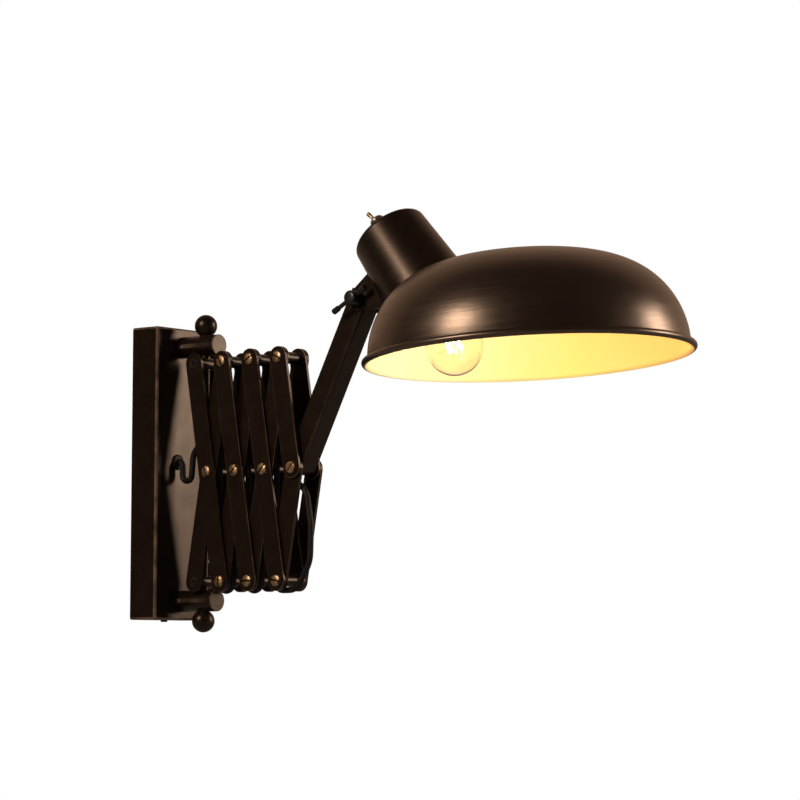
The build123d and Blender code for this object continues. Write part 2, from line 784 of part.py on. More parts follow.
def bulb():
    """Clear bulb: hollow glass, metal cap and the mount with its filament."""
    frame, reach = holder_frame()
    plane = revolve_plane(frame)
    neck = reach - BULB_NECK_BACK

    def glass_outline(inset):
        radius = BULB_RADIUS - inset
        shoulder = 48.0
        leave = (radius * sin(radians(shoulder)), reach - radius * cos(radians(shoulder)))
        tip = (0, reach + radius)
        side = (radius, reach)
        ThreePointArc(leave, side, tip)
        slope = (-cos(radians(shoulder)), -sin(radians(shoulder)))
        Spline(leave, (BULB_NECK - inset, neck), tangents=(slope, (0, -1)))

    with BuildPart() as glass:
        with BuildSketch(plane):
            with BuildLine():
                glass_outline(0)
                glass_outline(0.8)
                Line((BULB_NECK, neck), (BULB_NECK - 0.8, neck))
                Line((0, reach + BULB_RADIUS), (0, reach + BULB_RADIUS - 0.8))
            make_face()
        revolve(axis=Axis(plane.origin, plane.y_dir))
    save(glass, "bulb_glass")
    with BuildPart() as cap:
        with BuildSketch(plane):
            with BuildLine():
                Polyline(
                    (0, neck), (BULB_NECK, neck), (CAP_RADIUS, neck - 1.5),
                    (CAP_RADIUS, neck - CAP_LENGTH + 6), (CAP_RADIUS - 3, neck - CAP_LENGTH + 3),
                    (5.5, neck - CAP_LENGTH), (0, neck - CAP_LENGTH), close=True,
                )
            make_face()
        revolve(axis=Axis(plane.origin, plane.y_dir))
    save(cap, "bulb_cap")
    with BuildPart() as stem:
        with BuildSketch(plane):
            with BuildLine():
                Polyline(
                    (0, neck), (6.5, neck), (2.2, neck + 12), (2.2, reach - 14),
                    (0, reach - 13), close=True,
                )
            make_face()
        revolve(axis=Axis(plane.origin, plane.y_dir))
        with BuildLine(plane) as wire:
            FilletPolyline(
                (-2.6, reach - 16), (-8.5, reach + 1), (8.5, reach + 1), (2.6, reach - 16), radius=3
            )
        with BuildSketch(Plane(origin=wire.line @ 0, z_dir=wire.line % 0)):
            Circle(0.35)
        sweep()
    save(stem, "filament_mount")


def head_bracket():
    """U-shaped bracket: two cheeks round the arm and a web that fits the cup's wall."""
    cheek_in = ARM_SIZE / 2 + JOINT_GAP
    top_edge = beyond(JOINT, CUP_DOWN, -CHEEK_ROUND)
    top_end = beyond(top_edge, CUP_CROSS, 26)
    low_edge = (JOINT[0], JOINT[1] - CHEEK_ROUND)
    low_end = (JOINT[0] + 37, low_edge[1])
    left = beyond(JOINT, (-1, 0), CHEEK_ROUND)
    wall = CUP_RADIUS + joint_depth() * tan(radians(CUP_TAPER))
    web = Plane(
        origin=world(in_cup(joint_depth(), -wall)),
        x_dir=(1, 0, 0),
        z_dir=side_direction(turned(CUP_CROSS) + CUP_TAPER),
    )
    cup_outside = cup_solid(0, -5, CUP_REACH)
    with BuildPart() as bracket:
        with BuildSketch(SIDE.offset(cheek_in + CHEEK)):
            with BuildLine():
                Polyline(top_edge, top_end, low_end, low_edge)
                ThreePointArc(low_edge, left, top_edge)
            make_face()
            with Locations(JOINT):
                Circle(THREAD / 2 + FIT, mode=Mode.SUBTRACT)
        extrude(amount=-2 * (cheek_in + CHEEK))
        with BuildSketch(web.offset(-CHEEK)):
            Rectangle(2 * cheek_in, 120)
        extrude(amount=-70, mode=Mode.SUBTRACT)
        add(cup_outside, mode=Mode.SUBTRACT)
        with BuildSketch(cord_hole_plane()):
            Circle(4.5)
        extrude(amount=30, mode=Mode.SUBTRACT)
        with BuildSketch(rivet_plane()):
            with Locations(*rivet_places()):
                Circle(2.0)
        extrude(amount=30, mode=Mode.SUBTRACT)
    save(bracket, "head_bracket")
    with BuildPart() as rivets:
        with BuildSketch(rivet_plane().offset(15.5)):
            with Locations(*rivet_places()):
                Circle(1.95)
        extrude(amount=9)
    save(rivets, "bracket_rivets")


def side_direction(angle):
    """World direction of a side-view angle above the horizontal."""
    return Vector(0, -cos(radians(angle)), sin(radians(angle)))


def clamp():
    """Clamp screw with its hub, the sliding tommy bar and the nut on the far cheek."""
    cheek_out = ARM_SIZE / 2 + JOINT_GAP + CHEEK
    bar_height = cheek_out + HUB_LENGTH - 4.8
    direction = (cos(radians(TOMMY_ANGLE)), sin(radians(TOMMY_ANGLE)))
    with BuildPart() as screw:
        with BuildSketch(SIDE.offset(cheek_out)):
            with Locations(JOINT):
                Circle(HUB_DIAMETER / 2)
        extrude(amount=HUB_LENGTH)
        fillet(screw.faces().sort_by(Axis.X)[0].edges(), 2.2)
        fillet(screw.faces().sort_by(Axis.X)[-1].edges(), 0.8)
        with BuildSketch(SIDE.offset(cheek_out)):
            with Locations(JOINT):
                Circle(THREAD / 2)
        extrude(amount=-(2 * cheek_out + 6))
        with BuildSketch(side_plane(beyond(JOINT, direction, -20), direction, bar_height)):
            Circle(TOMMY_DIAMETER / 2 + FIT)
        extrude(amount=40, mode=Mode.SUBTRACT)
    save(screw, "clamp_screw")
    with BuildPart() as bar:
        tail = beyond(JOINT, direction, -TOMMY_LONG)
        length = TOMMY_LONG + TOMMY_SHORT
        with BuildSketch(side_plane(tail, direction, bar_height)):
            Circle(TOMMY_DIAMETER / 2)
        extrude(amount=length)
        for start in (0, length - TOMMY_END_LENGTH):
            cap = side_plane(beyond(tail, direction, start), direction, bar_height)
            with BuildSketch(cap):
                Circle(TOMMY_END / 2)
            extrude(amount=TOMMY_END_LENGTH)
        ends = bar.edges().filter_by(GeomType.CIRCLE).filter_by(lambda edge: edge.radius > 2.9)
        fillet(ends, 0.6)
    save(bar, "tommy_bar")
    with BuildPart() as nut:
        with BuildSketch(SIDE.offset(-cheek_out)):
            with Locations(JOINT):
                RegularPolygon(5.0, 6, major_radius=False)
                Circle(THREAD / 2 + FIT, mode=Mode.SUBTRACT)
        extrude(amount=-5)
    save(nut, "clamp_nut")


# --------------------------------------------------------------------------------- cord


def cord_route():
    """Corners of the cord's route and the radius at each, from the box to the lampholder."""
    rod_side = CORD_SIDE_ROD
    arm_side = CORD_SIDE_ARM
    first_leg = out_of_wall(1) + HALF_PITCH / 2
    route = [
        ((17.5, CORD_EXIT_UP), rod_side, 0),
        ((42.3, CORD_EXIT_UP), rod_side, 5.0),
        ((42.6, -8.0), rod_side, 5.8),
        ((54.5, -8.0), rod_side, 5.8),
        ((58.0, 28.0), rod_side, 15.0),
        ((first_leg, 28.0), rod_side, 15.0),
    ]
    turn = PIVOT_UP + HALF_PITCH / 2
    for step in range(2, 2 * BAYS + 1):
        left = out_of_wall(step) - HALF_PITCH / 2
        right = out_of_wall(step) + HALF_PITCH / 2
        height = HALF_PITCH / 2 if step % 2 else -turn
        route.append(((left, height), arm_side, WRAP_RADIUS))
        if step < 2 * BAYS:
            route.append(((right, height), arm_side, WRAP_RADIUS))
    behind_barrel = beyond(beyond(END, ARM_BACK, CORD_ARM_BACK), ARM_DIRECTION, -14.0)
    half_turn = (ARM_ANGLE - (90 - turned(CUP_CROSS))) / 2
    over_joint = beyond(JOINT, CUP_DOWN, -CORD_JOINT_BACK)
    over_joint = beyond(over_joint, CUP_CROSS, CORD_JOINT_BACK * tan(radians(half_turn)))
    frame, _ = holder_frame()
    terminal = frame.from_local_coords((-arm_side, TERMINAL_ACROSS, 0))
    end = (-terminal.Y, terminal.Z)
    ahead = (-frame.z_dir.Y, frame.z_dir.Z)
    run = joint_depth() - CORD_JOINT_BACK - cup_depth(end)
    inside_cup = beyond(end, ahead, run / (ahead[0] * CUP_DOWN[0] + ahead[1] * CUP_DOWN[1]))
    route += [
        ((196.0, -turn), arm_side, 16.0),
        ((214.0, -93.0), arm_side, 30.0),
        ((215.0, -58.0), arm_side, 60.0),
        ((208.5, -21.0), arm_side, 20.0),
        (behind_barrel, arm_side, 13.0),
        (over_joint, arm_side, CORD_JOINT_BACK),
        (inside_cup, arm_side, 7.0),
        (end, arm_side, 0),
    ]
    return route


def cup_depth(point):
    """How far down the cup's axis a side-view point lies."""
    return (point[0] - CUP_TOP_OUT) * CUP_DOWN[0] + (point[1] - CUP_TOP_UP) * CUP_DOWN[1]


def joint_depth():
    """How far down the cup's axis the head joint lies."""
    return cup_depth(JOINT)


def cord():
    """The cord, held all the way: straight runs joined by tangent arcs."""
    route = cord_route()
    points = [world(point, near) for point, near, _ in route]
    radii = [radius for _, _, radius in route[1:-1]]
    with BuildPart() as tube:
        with BuildLine() as line:
            FilletPolyline(*points, radius=radii)
        start = line.line @ 0
        with BuildSketch(Plane(origin=start, z_dir=line.line % 0)):
            Circle(CORD_DIAMETER / 2)
        sweep()
    save(tube, "cord")
    length = sum(edge.length for edge in line.edges())
    print("cord length", round(length, 1), "radii", radii)
    print("cord volume", round(tube.part.volume), "section x length",
          round(pi * CORD_DIAMETER**2 / 4 * length))


def grommets():
    """Rubber grommets where the cord leaves the box and where it enters the cup."""
    with BuildPart() as ring:
        exit_plane = side_plane((BOX_DEPTH, CORD_EXIT_UP), (1, 0), CORD_SIDE_ROD)
        with BuildSketch(exit_plane):
            Circle(8.0)
        extrude(amount=2.2)
        fillet(ring.faces().sort_by(Axis.Y)[0].edges(), 1.6)
        with BuildSketch(exit_plane.offset(-BOX_SHEET)):
            Circle(5.9)
        extrude(amount=BOX_SHEET)
        with BuildSketch(exit_plane.offset(-BOX_SHEET - 2)):
            Circle(7.4)
        extrude(amount=2)
        with BuildSketch(exit_plane.offset(-10)):
            Circle(CORD_DIAMETER / 2)
        extrude(amount=20, mode=Mode.SUBTRACT)
    save(ring, "cord_grommet")


wall_box()
wall_strap()
box_screws()
terminal_block()
bracket_rod("upper_bracket_rod", BRACKET_HEIGHT, 1)
bracket_rod("lower_bracket_rod", -BRACKET_HEIGHT, -1)
bracket_fixings()
upright_rod()
ball_nuts()
scissor()
arm()
shade()
cup(shade_block())
toggle_switch()
lampholder()
bulb()
head_bracket()
clamp()
cord()
grommets()
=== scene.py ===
"""Looks of an accordion wall lamp, dressed over its CAD frame.

The frame is in metres, +Z up. The wall is Y = 0 and the lamp reaches out along -Y.
Lengths in this file are millimetres unless they come from a property, and a place in the
side view is (out of the wall, up).
"""

import json
import math

import bmesh
import bpy
from mathutils import Matrix, Vector

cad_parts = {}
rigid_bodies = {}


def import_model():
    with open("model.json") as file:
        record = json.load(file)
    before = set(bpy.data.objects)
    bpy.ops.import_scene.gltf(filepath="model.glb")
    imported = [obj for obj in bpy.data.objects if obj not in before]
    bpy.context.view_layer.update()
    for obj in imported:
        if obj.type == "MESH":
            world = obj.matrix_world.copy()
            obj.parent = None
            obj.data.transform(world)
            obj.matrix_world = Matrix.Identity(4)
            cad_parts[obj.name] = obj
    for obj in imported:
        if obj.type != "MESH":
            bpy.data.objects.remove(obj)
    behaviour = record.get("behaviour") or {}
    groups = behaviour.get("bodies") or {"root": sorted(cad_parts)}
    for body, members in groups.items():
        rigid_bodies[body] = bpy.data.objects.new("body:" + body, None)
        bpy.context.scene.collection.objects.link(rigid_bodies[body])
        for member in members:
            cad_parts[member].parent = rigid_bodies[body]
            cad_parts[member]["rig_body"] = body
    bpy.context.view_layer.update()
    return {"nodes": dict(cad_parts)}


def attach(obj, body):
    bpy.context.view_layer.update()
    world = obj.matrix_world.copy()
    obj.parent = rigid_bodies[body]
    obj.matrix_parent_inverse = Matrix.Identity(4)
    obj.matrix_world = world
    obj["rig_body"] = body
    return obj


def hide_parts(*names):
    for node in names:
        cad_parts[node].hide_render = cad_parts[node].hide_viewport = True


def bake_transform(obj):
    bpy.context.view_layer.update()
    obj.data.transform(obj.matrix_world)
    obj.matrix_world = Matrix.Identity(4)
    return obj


bl_info = {
    "name": "Accordion wall lamp",
    "version": (1, 0, 0),
    "blender": (4, 5, 0),
    "location": "3D View > Sidebar > Wall lamp",
    "description": "Dresses the accordion wall lamp's frame with its finished pieces",
    "category": "Object",
}

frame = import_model()

MM = 0.001
SMOOTH_BELOW = math.radians(32)

# Scissor
AXIS_OUT = 65.0
BAR_LENGTH = 226.0
REST_ANGLE = math.radians(9.67)
HALF_PITCH = BAR_LENGTH / 2 * math.sin(REST_ANGLE)
PIVOT_UP = BAR_LENGTH / 2 * math.cos(REST_ANGLE)
SURFACE = 18.3
SCREW_SHANK = 14.3
BALL_UP = 151.0
BALL_RADIUS = 11.6
BALL_FLAT = 10.4
RISING = {"bar_b": (0, 2), "bar_d": (2, 4), "bar_f": (4, 6), "bar_h": (6, 7)}

# Arm and head joint
END = (AXIS_OUT + 7 * HALF_PITCH, 0.0)
ARM_LEAN = math.radians(27)
ARM_WAY = (math.sin(ARM_LEAN), math.cos(ARM_LEAN))
JOINT = (END[0] + 182 * ARM_WAY[0], END[1] + 182 * ARM_WAY[1])

# Cup, shade and bulb
CUP_TOP = (306.8, 225.7)
CUP_ANGLE = math.radians(51.27)
CUP_DOWN = (math.cos(CUP_ANGLE), -math.sin(CUP_ANGLE))
CUP_CROSS = (-CUP_DOWN[1], CUP_DOWN[0])
SHADE_AT = (476.8, 95.6)
SHADE_TILT = math.radians(3.9)
SHADE_SKIRT = 3.5
SHADE_STEPS = 200
BULB_NECK_BACK = 46.0

# Clamp
CHEEK = 15.0
TOMMY_ANGLE = math.radians(28.6)

# Cord: the level that parts its lower runs from its upper ones, and half a length's width
LEG_CUT = -56.0
HALF_LENGTH = 18.9

# Studio, in metres: place, size and watts of each soft light
SOFTBOXES = {
    "left_softbox": ((-2.66, 0.31, 1.27), (0.8, 1.0), 40.0),
    "right_softbox": ((2.14, -2.34, 0.72), (0.8, 1.4), 38.0),
}
SOFTBOX_AIM = Vector((0, -0.3, 0.05))
SOFTBOX_COLOUR = (1.0, 0.82, 0.66)
FLOOR_UP = -0.9
PALE_WAY = Vector((0.775, 0.626, 0.085))
ROOM_DARK = (0.036, 0.021, 0.014, 1)
ROOM_PALE = (0.50, 0.33, 0.22, 1)
ROOM_LIGHT = (0.42, 0.42, 0.42, 1)
FLOOR_REFLECTED = (0.16, 0.13, 0.11, 1)


def at(point, x=0.0):
    """Frame point, in metres, of a side-view place and a distance to the far side."""
    return Vector((x, -point[0], point[1])) * MM


def out_of_wall(step):
    """Distance of a pivot from the wall, counted in half bar spreads from the rod."""
    return AXIS_OUT + step * HALF_PITCH


def in_cup(along, across):
    """Side-view place from the cup's own frame."""
    return (
        CUP_TOP[0] + CUP_DOWN[0] * along + CUP_CROSS[0] * across,
        CUP_TOP[1] + CUP_DOWN[1] * along + CUP_CROSS[1] * across,
    )


HOLDER_BACK = in_cup(45.0, -1.6)
BULB_AT = in_cup(142.0, -9.4)


# ------------------------------------------------------------------------- properties


def length_property(name, description, default, low, high):
    """A length that a user can change."""
    return bpy.props.FloatProperty(
        name=name, description=description, default=default, min=low, max=high,
        unit="LENGTH", subtype="DISTANCE",
    )


class LampSizes(bpy.types.PropertyGroup):
    """Sizes that a user would change."""

    edge_round: length_property(
        "Edge round", "Radius of the softened edges of flat bars", 0.00035, 0.0, 0.001)
    shade_radius: length_property(
        "Shade radius", "Radius of the dome above its bead", 0.1518, 0.05, 0.3)
    shade_height: length_property(
        "Shade height", "Height of the dome above its skirt", 0.0916, 0.02, 0.2)
    shade_sheet: length_property(
        "Shade sheet", "Thickness of the spun sheet", 0.001, 0.0004, 0.003)
    bead_radius: length_property(
        "Bead radius", "Radius of the rolled bead round the rim", 0.0034, 0.001, 0.008)
    screw_head: length_property(
        "Screw head", "Diameter of the slotted pivot screws", 0.012, 0.006, 0.02)
    bulb_radius: length_property(
        "Bulb radius", "Radius of the clear globe", 0.0278, 0.02, 0.05)
    glow_power: bpy.props.FloatProperty(
        name="Glow power", description="Power of the light inside the bulb, in watts",
        default=0.3, min=0.0, max=50.0,
    )


def colour_property(name, description, default):
    """A colour that a user can change."""
    return bpy.props.FloatVectorProperty(
        name=name, description=description, default=default, min=0.0, max=1.0, size=3,
        subtype="COLOR",
    )


class LampColours(bpy.types.PropertyGroup):
    """Colours of the finishes, as linear values."""

    paint: colour_property("Paint", "Bronze-brown satin paint", (0.0052, 0.0022, 0.0013))
    # The lighter edge paint stands for worn paint and also for the painted highlight of rounded
    # edges.
    rubbed: colour_property("Rubbed paint", "Paint on worn edges, also painting their highlight", (0.15, 0.095, 0.065))
    sheen: colour_property("Paint gloss", "Tint of the paint's highlights", (1.0, 0.76, 0.60))
    enamel: colour_property("Enamel", "Inside of the shade", (0.80, 0.66, 0.42))
    brass: colour_property("Brass", "Slotted screws and switch lever", (0.72, 0.48, 0.28))
    patina: colour_property("Patina", "Dirt in the brass", (0.030, 0.018, 0.011))
    steel: colour_property("Steel", "Plated steel inside the lamp", (0.55, 0.54, 0.52))
    nickel: colour_property("Nickel", "Switch nut and grub screws", (0.86, 0.74, 0.68))
    rubber: colour_property("Rubber", "Cord and grommets", (0.006, 0.0042, 0.0036))
    glow: colour_property("Glow", "Light of the filament", (1.0, 0.72, 0.36))
    backdrop: colour_property("Backdrop", "Floor and background", (1.0, 1.0, 1.0))


def sizes():
    """The scene's lamp sizes."""
    return bpy.context.scene.lamp_sizes


def colours():
    """The scene's lamp colours."""
    return bpy.context.scene.lamp_colours


# -------------------------------------------------------------------------- materials


class Tree:
    """Small helper that adds and links nodes in a node tree."""

    def __init__(self, tree):
        self.tree = tree

    def add(self, kind, inputs=None, **settings):
        node = self.tree.nodes.new(kind)
        for key, value in settings.items():
            setattr(node, key, value)
        for key, value in (inputs or {}).items():
            self.feed(node.inputs[key], value)
        return node

    def feed(self, socket, value):
        if isinstance(value, bpy.types.NodeSocket):
            self.tree.links.new(value, socket)
        else:
            socket.default_value = value

    def math(self, operation, *values):
        node = self.add("ShaderNodeMath", operation=operation)
        for index, value in enumerate(values):
            self.feed(node.inputs[index], value)
        return node.outputs[0]

    def plus(self, first, second):
        return self.math("ADD", first, second)

    def times(self, first, second):
        return self.math("MULTIPLY", first, second)

    def noise(self, vector, scale, detail=4.0):
        node = self.add("ShaderNodeTexNoise", {
            "Vector": vector, "Scale": scale, "Detail": detail, "Roughness": 0.55})
        return node.outputs["Fac"]

    def group(self, group, inputs):
        return self.add("ShaderNodeGroup", inputs, node_tree=group).outputs

    def seen(self, path):
        """One for rays that look: from the camera, off a gloss or through glass."""
        mirrored = self.math("MAXIMUM", path["Is Glossy Ray"], path["Is Transmission Ray"])
        return self.math("MAXIMUM", path["Is Camera Ray"], mirrored)

    def span(self, value, low, high, to_low=0.0, to_high=1.0):
        return self.add("ShaderNodeMapRange", {
            "Value": value, "From Min": low, "From Max": high,
            "To Min": to_low, "To Max": to_high,
        }).outputs["Result"]

    def mix(self, factor, first, second):
        inputs = {"Factor": factor, "A": first, "B": second}
        return self.add("ShaderNodeMix", inputs, data_type="RGBA").outputs["Result"]


def four(colour):
    """A colour with full alpha."""
    return (*colour, 1.0)


def shader_group(name, inputs, outputs):
    """New shader node group with these sockets, or the one that is already there."""
    if name in bpy.data.node_groups:
        return bpy.data.node_groups[name], None, None, None
    group = bpy.data.node_groups.new(name, "ShaderNodeTree")
    for label, kind, default in inputs:
        socket = group.interface.new_socket(label, in_out="INPUT", socket_type=kind)
        if default is not None:
            socket.default_value = default
    for label, kind in outputs:
        group.interface.new_socket(label, in_out="OUTPUT", socket_type=kind)
    tree = Tree(group)
    return group, tree, tree.add("NodeGroupInput").outputs, tree.add("NodeGroupOutput").inputs


def worn_coat_group():
    """Mottled coat with a lighter tone on its edges: worn paint, and also a painted highlight along
    the rounded edges.
    """
    group, tree, given, result = shader_group(
        "Worn coat",
        [
            ("Vector", "NodeSocketVector", None),
            ("Coat", "NodeSocketColor", None),
            ("Rubbed", "NodeSocketColor", None),
            ("Mottle", "NodeSocketFloat", 60.0),
            ("Grain", "NodeSocketFloat", 900.0),
            ("Rub", "NodeSocketFloat", 0.5),
            ("Gloss", "NodeSocketFloat", 0.36),
            ("Unevenness", "NodeSocketFloat", 0.04),
        ],
        [
            ("Color", "NodeSocketColor"),
            ("Roughness", "NodeSocketFloat"),
            ("Height", "NodeSocketFloat"),
        ],
    )
    if tree is None:
        return group
    mottle = tree.noise(given["Vector"], given["Mottle"], 5.0)
    grain = tree.noise(given["Vector"], given["Grain"], 3.0)
    # Narrow rounded faces take the lighter edge tone, which is worn paint and also a painted
    # highlight.
    edge = tree.add("ShaderNodeAttribute", attribute_name="edge").outputs["Fac"]
    patchy = tree.span(mottle, 0.30, 0.62, 0.2, 1.0)
    rub_and_highlight = tree.times(tree.times(edge, patchy), given["Rub"])
    soft = tree.mix(tree.span(mottle, 0.3, 0.7, 0.0, 0.015), given["Coat"], given["Rubbed"])
    tree.feed(result["Color"], tree.mix(rub_and_highlight, soft, given["Rubbed"]))
    shift = tree.times(tree.span(mottle, 0.3, 0.7, -1.0, 1.0), given["Unevenness"])
    tree.feed(result["Roughness"], tree.plus(given["Gloss"], shift))
    tree.feed(result["Height"], grain)
    return group


def turned_marks_group():
    """Fine marks that run round the local Z axis, as a lathe or a spinning tool leaves."""
    group, tree, given, result = shader_group(
        "Turned marks",
        [("Vector", "NodeSocketVector", None), ("Density", "NodeSocketFloat", 900.0)],
        [("Height", "NodeSocketFloat"), ("Mask", "NodeSocketFloat")],
    )
    if tree is None:
        return group
    parts = tree.add("ShaderNodeSeparateXYZ", {"Vector": given["Vector"]}).outputs
    square = tree.plus(tree.times(parts[0], parts[0]), tree.times(parts[1], parts[1]))
    radius = tree.times(tree.math("SQRT", square), given["Density"])
    height = tree.times(parts[2], given["Density"])
    angle = tree.times(tree.math("ARCTAN2", parts[1], parts[0]), 3.0)
    wound = tree.add("ShaderNodeCombineXYZ", {"X": radius, "Y": height, "Z": angle}).outputs[0]
    marks = tree.noise(wound, 1.0, 3.0)
    tree.feed(result["Height"], marks)
    tree.feed(result["Mask"], tree.span(marks, 0.42, 0.66))
    return group


def settled_dust_group():
    """Thin dust on what faces up."""
    group, tree, given, result = shader_group(
        "Settled dust",
        [
            ("Vector", "NodeSocketVector", None),
            ("Color", "NodeSocketColor", None),
            ("Dust", "NodeSocketColor", (0.30, 0.24, 0.19, 1.0)),
            ("Amount", "NodeSocketFloat", 0.03),
        ],
        [("Color", "NodeSocketColor")],
    )
    if tree is None:
        return group
    normal = tree.add("ShaderNodeNewGeometry").outputs["Normal"]
    up = tree.add("ShaderNodeSeparateXYZ", {"Vector": normal}).outputs[2]
    cover = tree.times(tree.span(up, 0.3, 1.0), given["Amount"])
    patchy = tree.times(cover, tree.noise(given["Vector"], 240.0, 5.0))
    tree.feed(result["Color"], tree.mix(patchy, given["Color"], given["Dust"]))
    return group


def fresh_material(name):
    """Empty material with a Principled shader, and its node helper."""
    material = bpy.data.materials.new(name)
    material.use_nodes = True
    tree = Tree(material.node_tree)
    shader = material.node_tree.nodes["Principled BSDF"]
    vector = tree.add("ShaderNodeTexCoord").outputs["Object"]
    return material, tree, shader, vector


def bumped(tree, shader, height, strength, distance):
    """Feed a height into the shader's normal."""
    bump = tree.add("ShaderNodeBump", {"Height": height, "Strength": strength})
    bump.inputs["Distance"].default_value = distance
    tree.feed(shader.inputs["Normal"], bump.outputs["Normal"])


def once(maker):
    """Build a material the first time it is asked for, then hand out the same one."""
    def ask():
        name = maker.__name__
        return bpy.data.materials.get(name) or maker(name)
    return ask


def coat_material(name, gloss, rub_and_highlight, grain, spec, dust=0.01, uneven=0.03, turned_at=None):
    """Satin bronze-brown paint, with turned marks where turned_at places and tilts them."""
    material, tree, shader, vector = fresh_material(name)
    coat = tree.group(worn_coat_group(), {
        "Vector": vector, "Coat": four(colours().paint), "Rubbed": four(colours().rubbed),
        "Rub": rub_and_highlight, "Gloss": gloss, "Unevenness": uneven,
    })
    settled = tree.group(settled_dust_group(), {
        "Vector": vector, "Color": coat["Color"], "Amount": dust})
    tree.feed(shader.inputs["Base Color"], settled["Color"])
    rough, height = coat["Roughness"], coat["Height"]
    if turned_at:
        place, tilt = turned_at
        centred = tree.add("ShaderNodeMapping", {
            "Vector": vector, "Location": place, "Rotation": (tilt, 0.0, 0.0),
        }, vector_type="TEXTURE").outputs[0]
        marks = tree.group(turned_marks_group(), {"Vector": centred})
        rough = tree.plus(rough, tree.times(marks["Mask"], 0.07))
        height = tree.plus(height, tree.times(marks["Height"], 2.5))
    tree.feed(shader.inputs["Roughness"], rough)
    shader.inputs["IOR"].default_value = 1.8
    shader.inputs["Specular IOR Level"].default_value = spec
    shader.inputs["Specular Tint"].default_value = four(colours().sheen)
    bumped(tree, shader, height, grain, 0.0002)
    return material


@once
def bronze_paint(name):
    """Satin paint of the box, bars, rods and arm."""
    # The strong edge tone here paints the bright highlight lines of the rounded edges as well as
    # wear.
    return coat_material(name, 0.31, rub_and_highlight=1.0, grain=0.08, spec=0.23, dust=0.02)


@once
def dome_paint(name):
    """Satin paint outside the dome, with faint spinning marks round it."""
    return coat_material(name, 0.29, rub_and_highlight=0.3, grain=0.22, spec=1.0, uneven=0.008,
                         turned_at=(at(SHADE_AT), -SHADE_TILT))


@once
def cup_paint(name):
    """Satin paint outside the cup, with faint turning marks round its axis."""
    return coat_material(name, 0.28, rub_and_highlight=0.35, grain=0.018, spec=0.40, uneven=0.01,
                         turned_at=(at(CUP_TOP), CUP_ANGLE - math.pi / 2))


@once
def white_enamel(name):
    """White enamel inside the shade, with a painted glow by emission, pale yellow near the bulb and
    orange farther off.
    """
    material, tree, shader, vector = fresh_material(name)
    # The emission paints the bulb's light on the enamel, fading from pale yellow near the bulb to
    # orange.
    away = tree.add("ShaderNodeVectorMath", {0: vector, 1: at(BULB_AT)}, operation="DISTANCE")
    painted_glow_ramp = tree.add("ShaderNodeValToRGB", {0: tree.span(away.outputs["Value"], 0.03, 0.26)})
    stops = painted_glow_ramp.color_ramp.elements
    stops[0].position, stops[0].color = 0.0, (0.56, 0.53, 0.36, 1.0)
    stops[1].position, stops[1].color = 1.0, (0.56, 0.15, 0.0, 1.0)
    middle = stops.new(0.5)
    middle.color = (0.57, 0.42, 0.07, 1.0)
    tree.feed(shader.inputs["Emission Color"], painted_glow_ramp.outputs["Color"])
    shader.inputs["Emission Strength"].default_value = 1.0
    soft = tree.noise(vector, 35.0, 4.0)
    tone = tree.mix(tree.span(soft, 0.3, 0.7, 0.0, 0.25), four(colours().enamel),
                    (0.74, 0.58, 0.36, 1.0))
    tree.feed(shader.inputs["Base Color"], tone)
    tree.feed(shader.inputs["Roughness"], tree.span(soft, 0.3, 0.7, 0.30, 0.42))
    bumped(tree, shader, tree.noise(vector, 420.0, 2.0), 0.08, 0.0002)
    return material


def metal_material(name, colour, dirt, gloss, rub_and_highlight, scale=260.0):
    """Bare metal with dirt, much darker and rougher on the faces that the mesh marks, and fine
    scratches.
    """
    material, tree, shader, vector = fresh_material(name)
    coat = tree.group(worn_coat_group(), {
        "Vector": vector, "Coat": four(dirt), "Rubbed": four(colour), "Mottle": scale,
        "Grain": 2600.0, "Rub": rub_and_highlight, "Gloss": gloss,
    })
    spots = tree.span(tree.noise(vector, scale * 2.2, 5.0), 0.40, 0.60)
    tone = tree.mix(tree.span(spots, 0.0, 1.0, 0.25, 0.95), coat["Color"], four(colour))
    # Faces that the mesh marks turn near black and rougher.
    darkened_faces = tree.add("ShaderNodeAttribute", attribute_name="dirt").outputs["Fac"]
    tone = tree.mix(darkened_faces, tone, four(0.12 * c for c in dirt))
    tree.feed(shader.inputs["Base Color"], tone)
    tree.feed(shader.inputs["Roughness"], tree.plus(coat["Roughness"], tree.times(darkened_faces, 0.35)))
    shader.inputs["Metallic"].default_value = 1.0
    bumped(tree, shader, coat["Height"], 0.15, 0.0001)
    return material


@once
def aged_brass(name):
    """Browned brass of the slotted screws and the switch lever."""
    return metal_material(name, colours().brass, colours().patina, 0.40, 0.7)


@once
def plated_steel(name):
    """Zinc-plated steel inside the lamp."""
    return metal_material(name, colours().steel, (0.43, 0.43, 0.41), 0.36, 0.6, 420.0)


@once
def nickel_plate(name):
    """Warm nickel of the switch nut."""
    return metal_material(name, colours().nickel, (0.55, 0.44, 0.38), 0.36, 0.6)


@once
def blackened_steel(name):
    """Blackened steel of the clamp and the socket screws."""
    return moulded_material(name, (0.0035, 0.0024, 0.002), 0.33, 1100.0, 0.1, 0.6)


def moulded_material(name, colour, gloss, grain, strength, spec=0.4):
    """Moulded plastic or rubber."""
    material, tree, shader, vector = fresh_material(name)
    tone = tree.noise(vector, grain / 8, 5.0)
    pale = tuple(min(1.0, c * 2.2 + 0.004) for c in colour)
    mixed = tree.mix(tree.span(tone, 0.35, 0.65, 0.0, 0.5), four(colour), four(pale))
    tree.feed(shader.inputs["Base Color"], mixed)
    tree.feed(shader.inputs["Roughness"], tree.span(tone, 0.3, 0.7, gloss - 0.05, gloss + 0.08))
    shader.inputs["Specular IOR Level"].default_value = spec
    bumped(tree, shader, tree.noise(vector, grain, 3.0), strength, 0.0002)
    return material


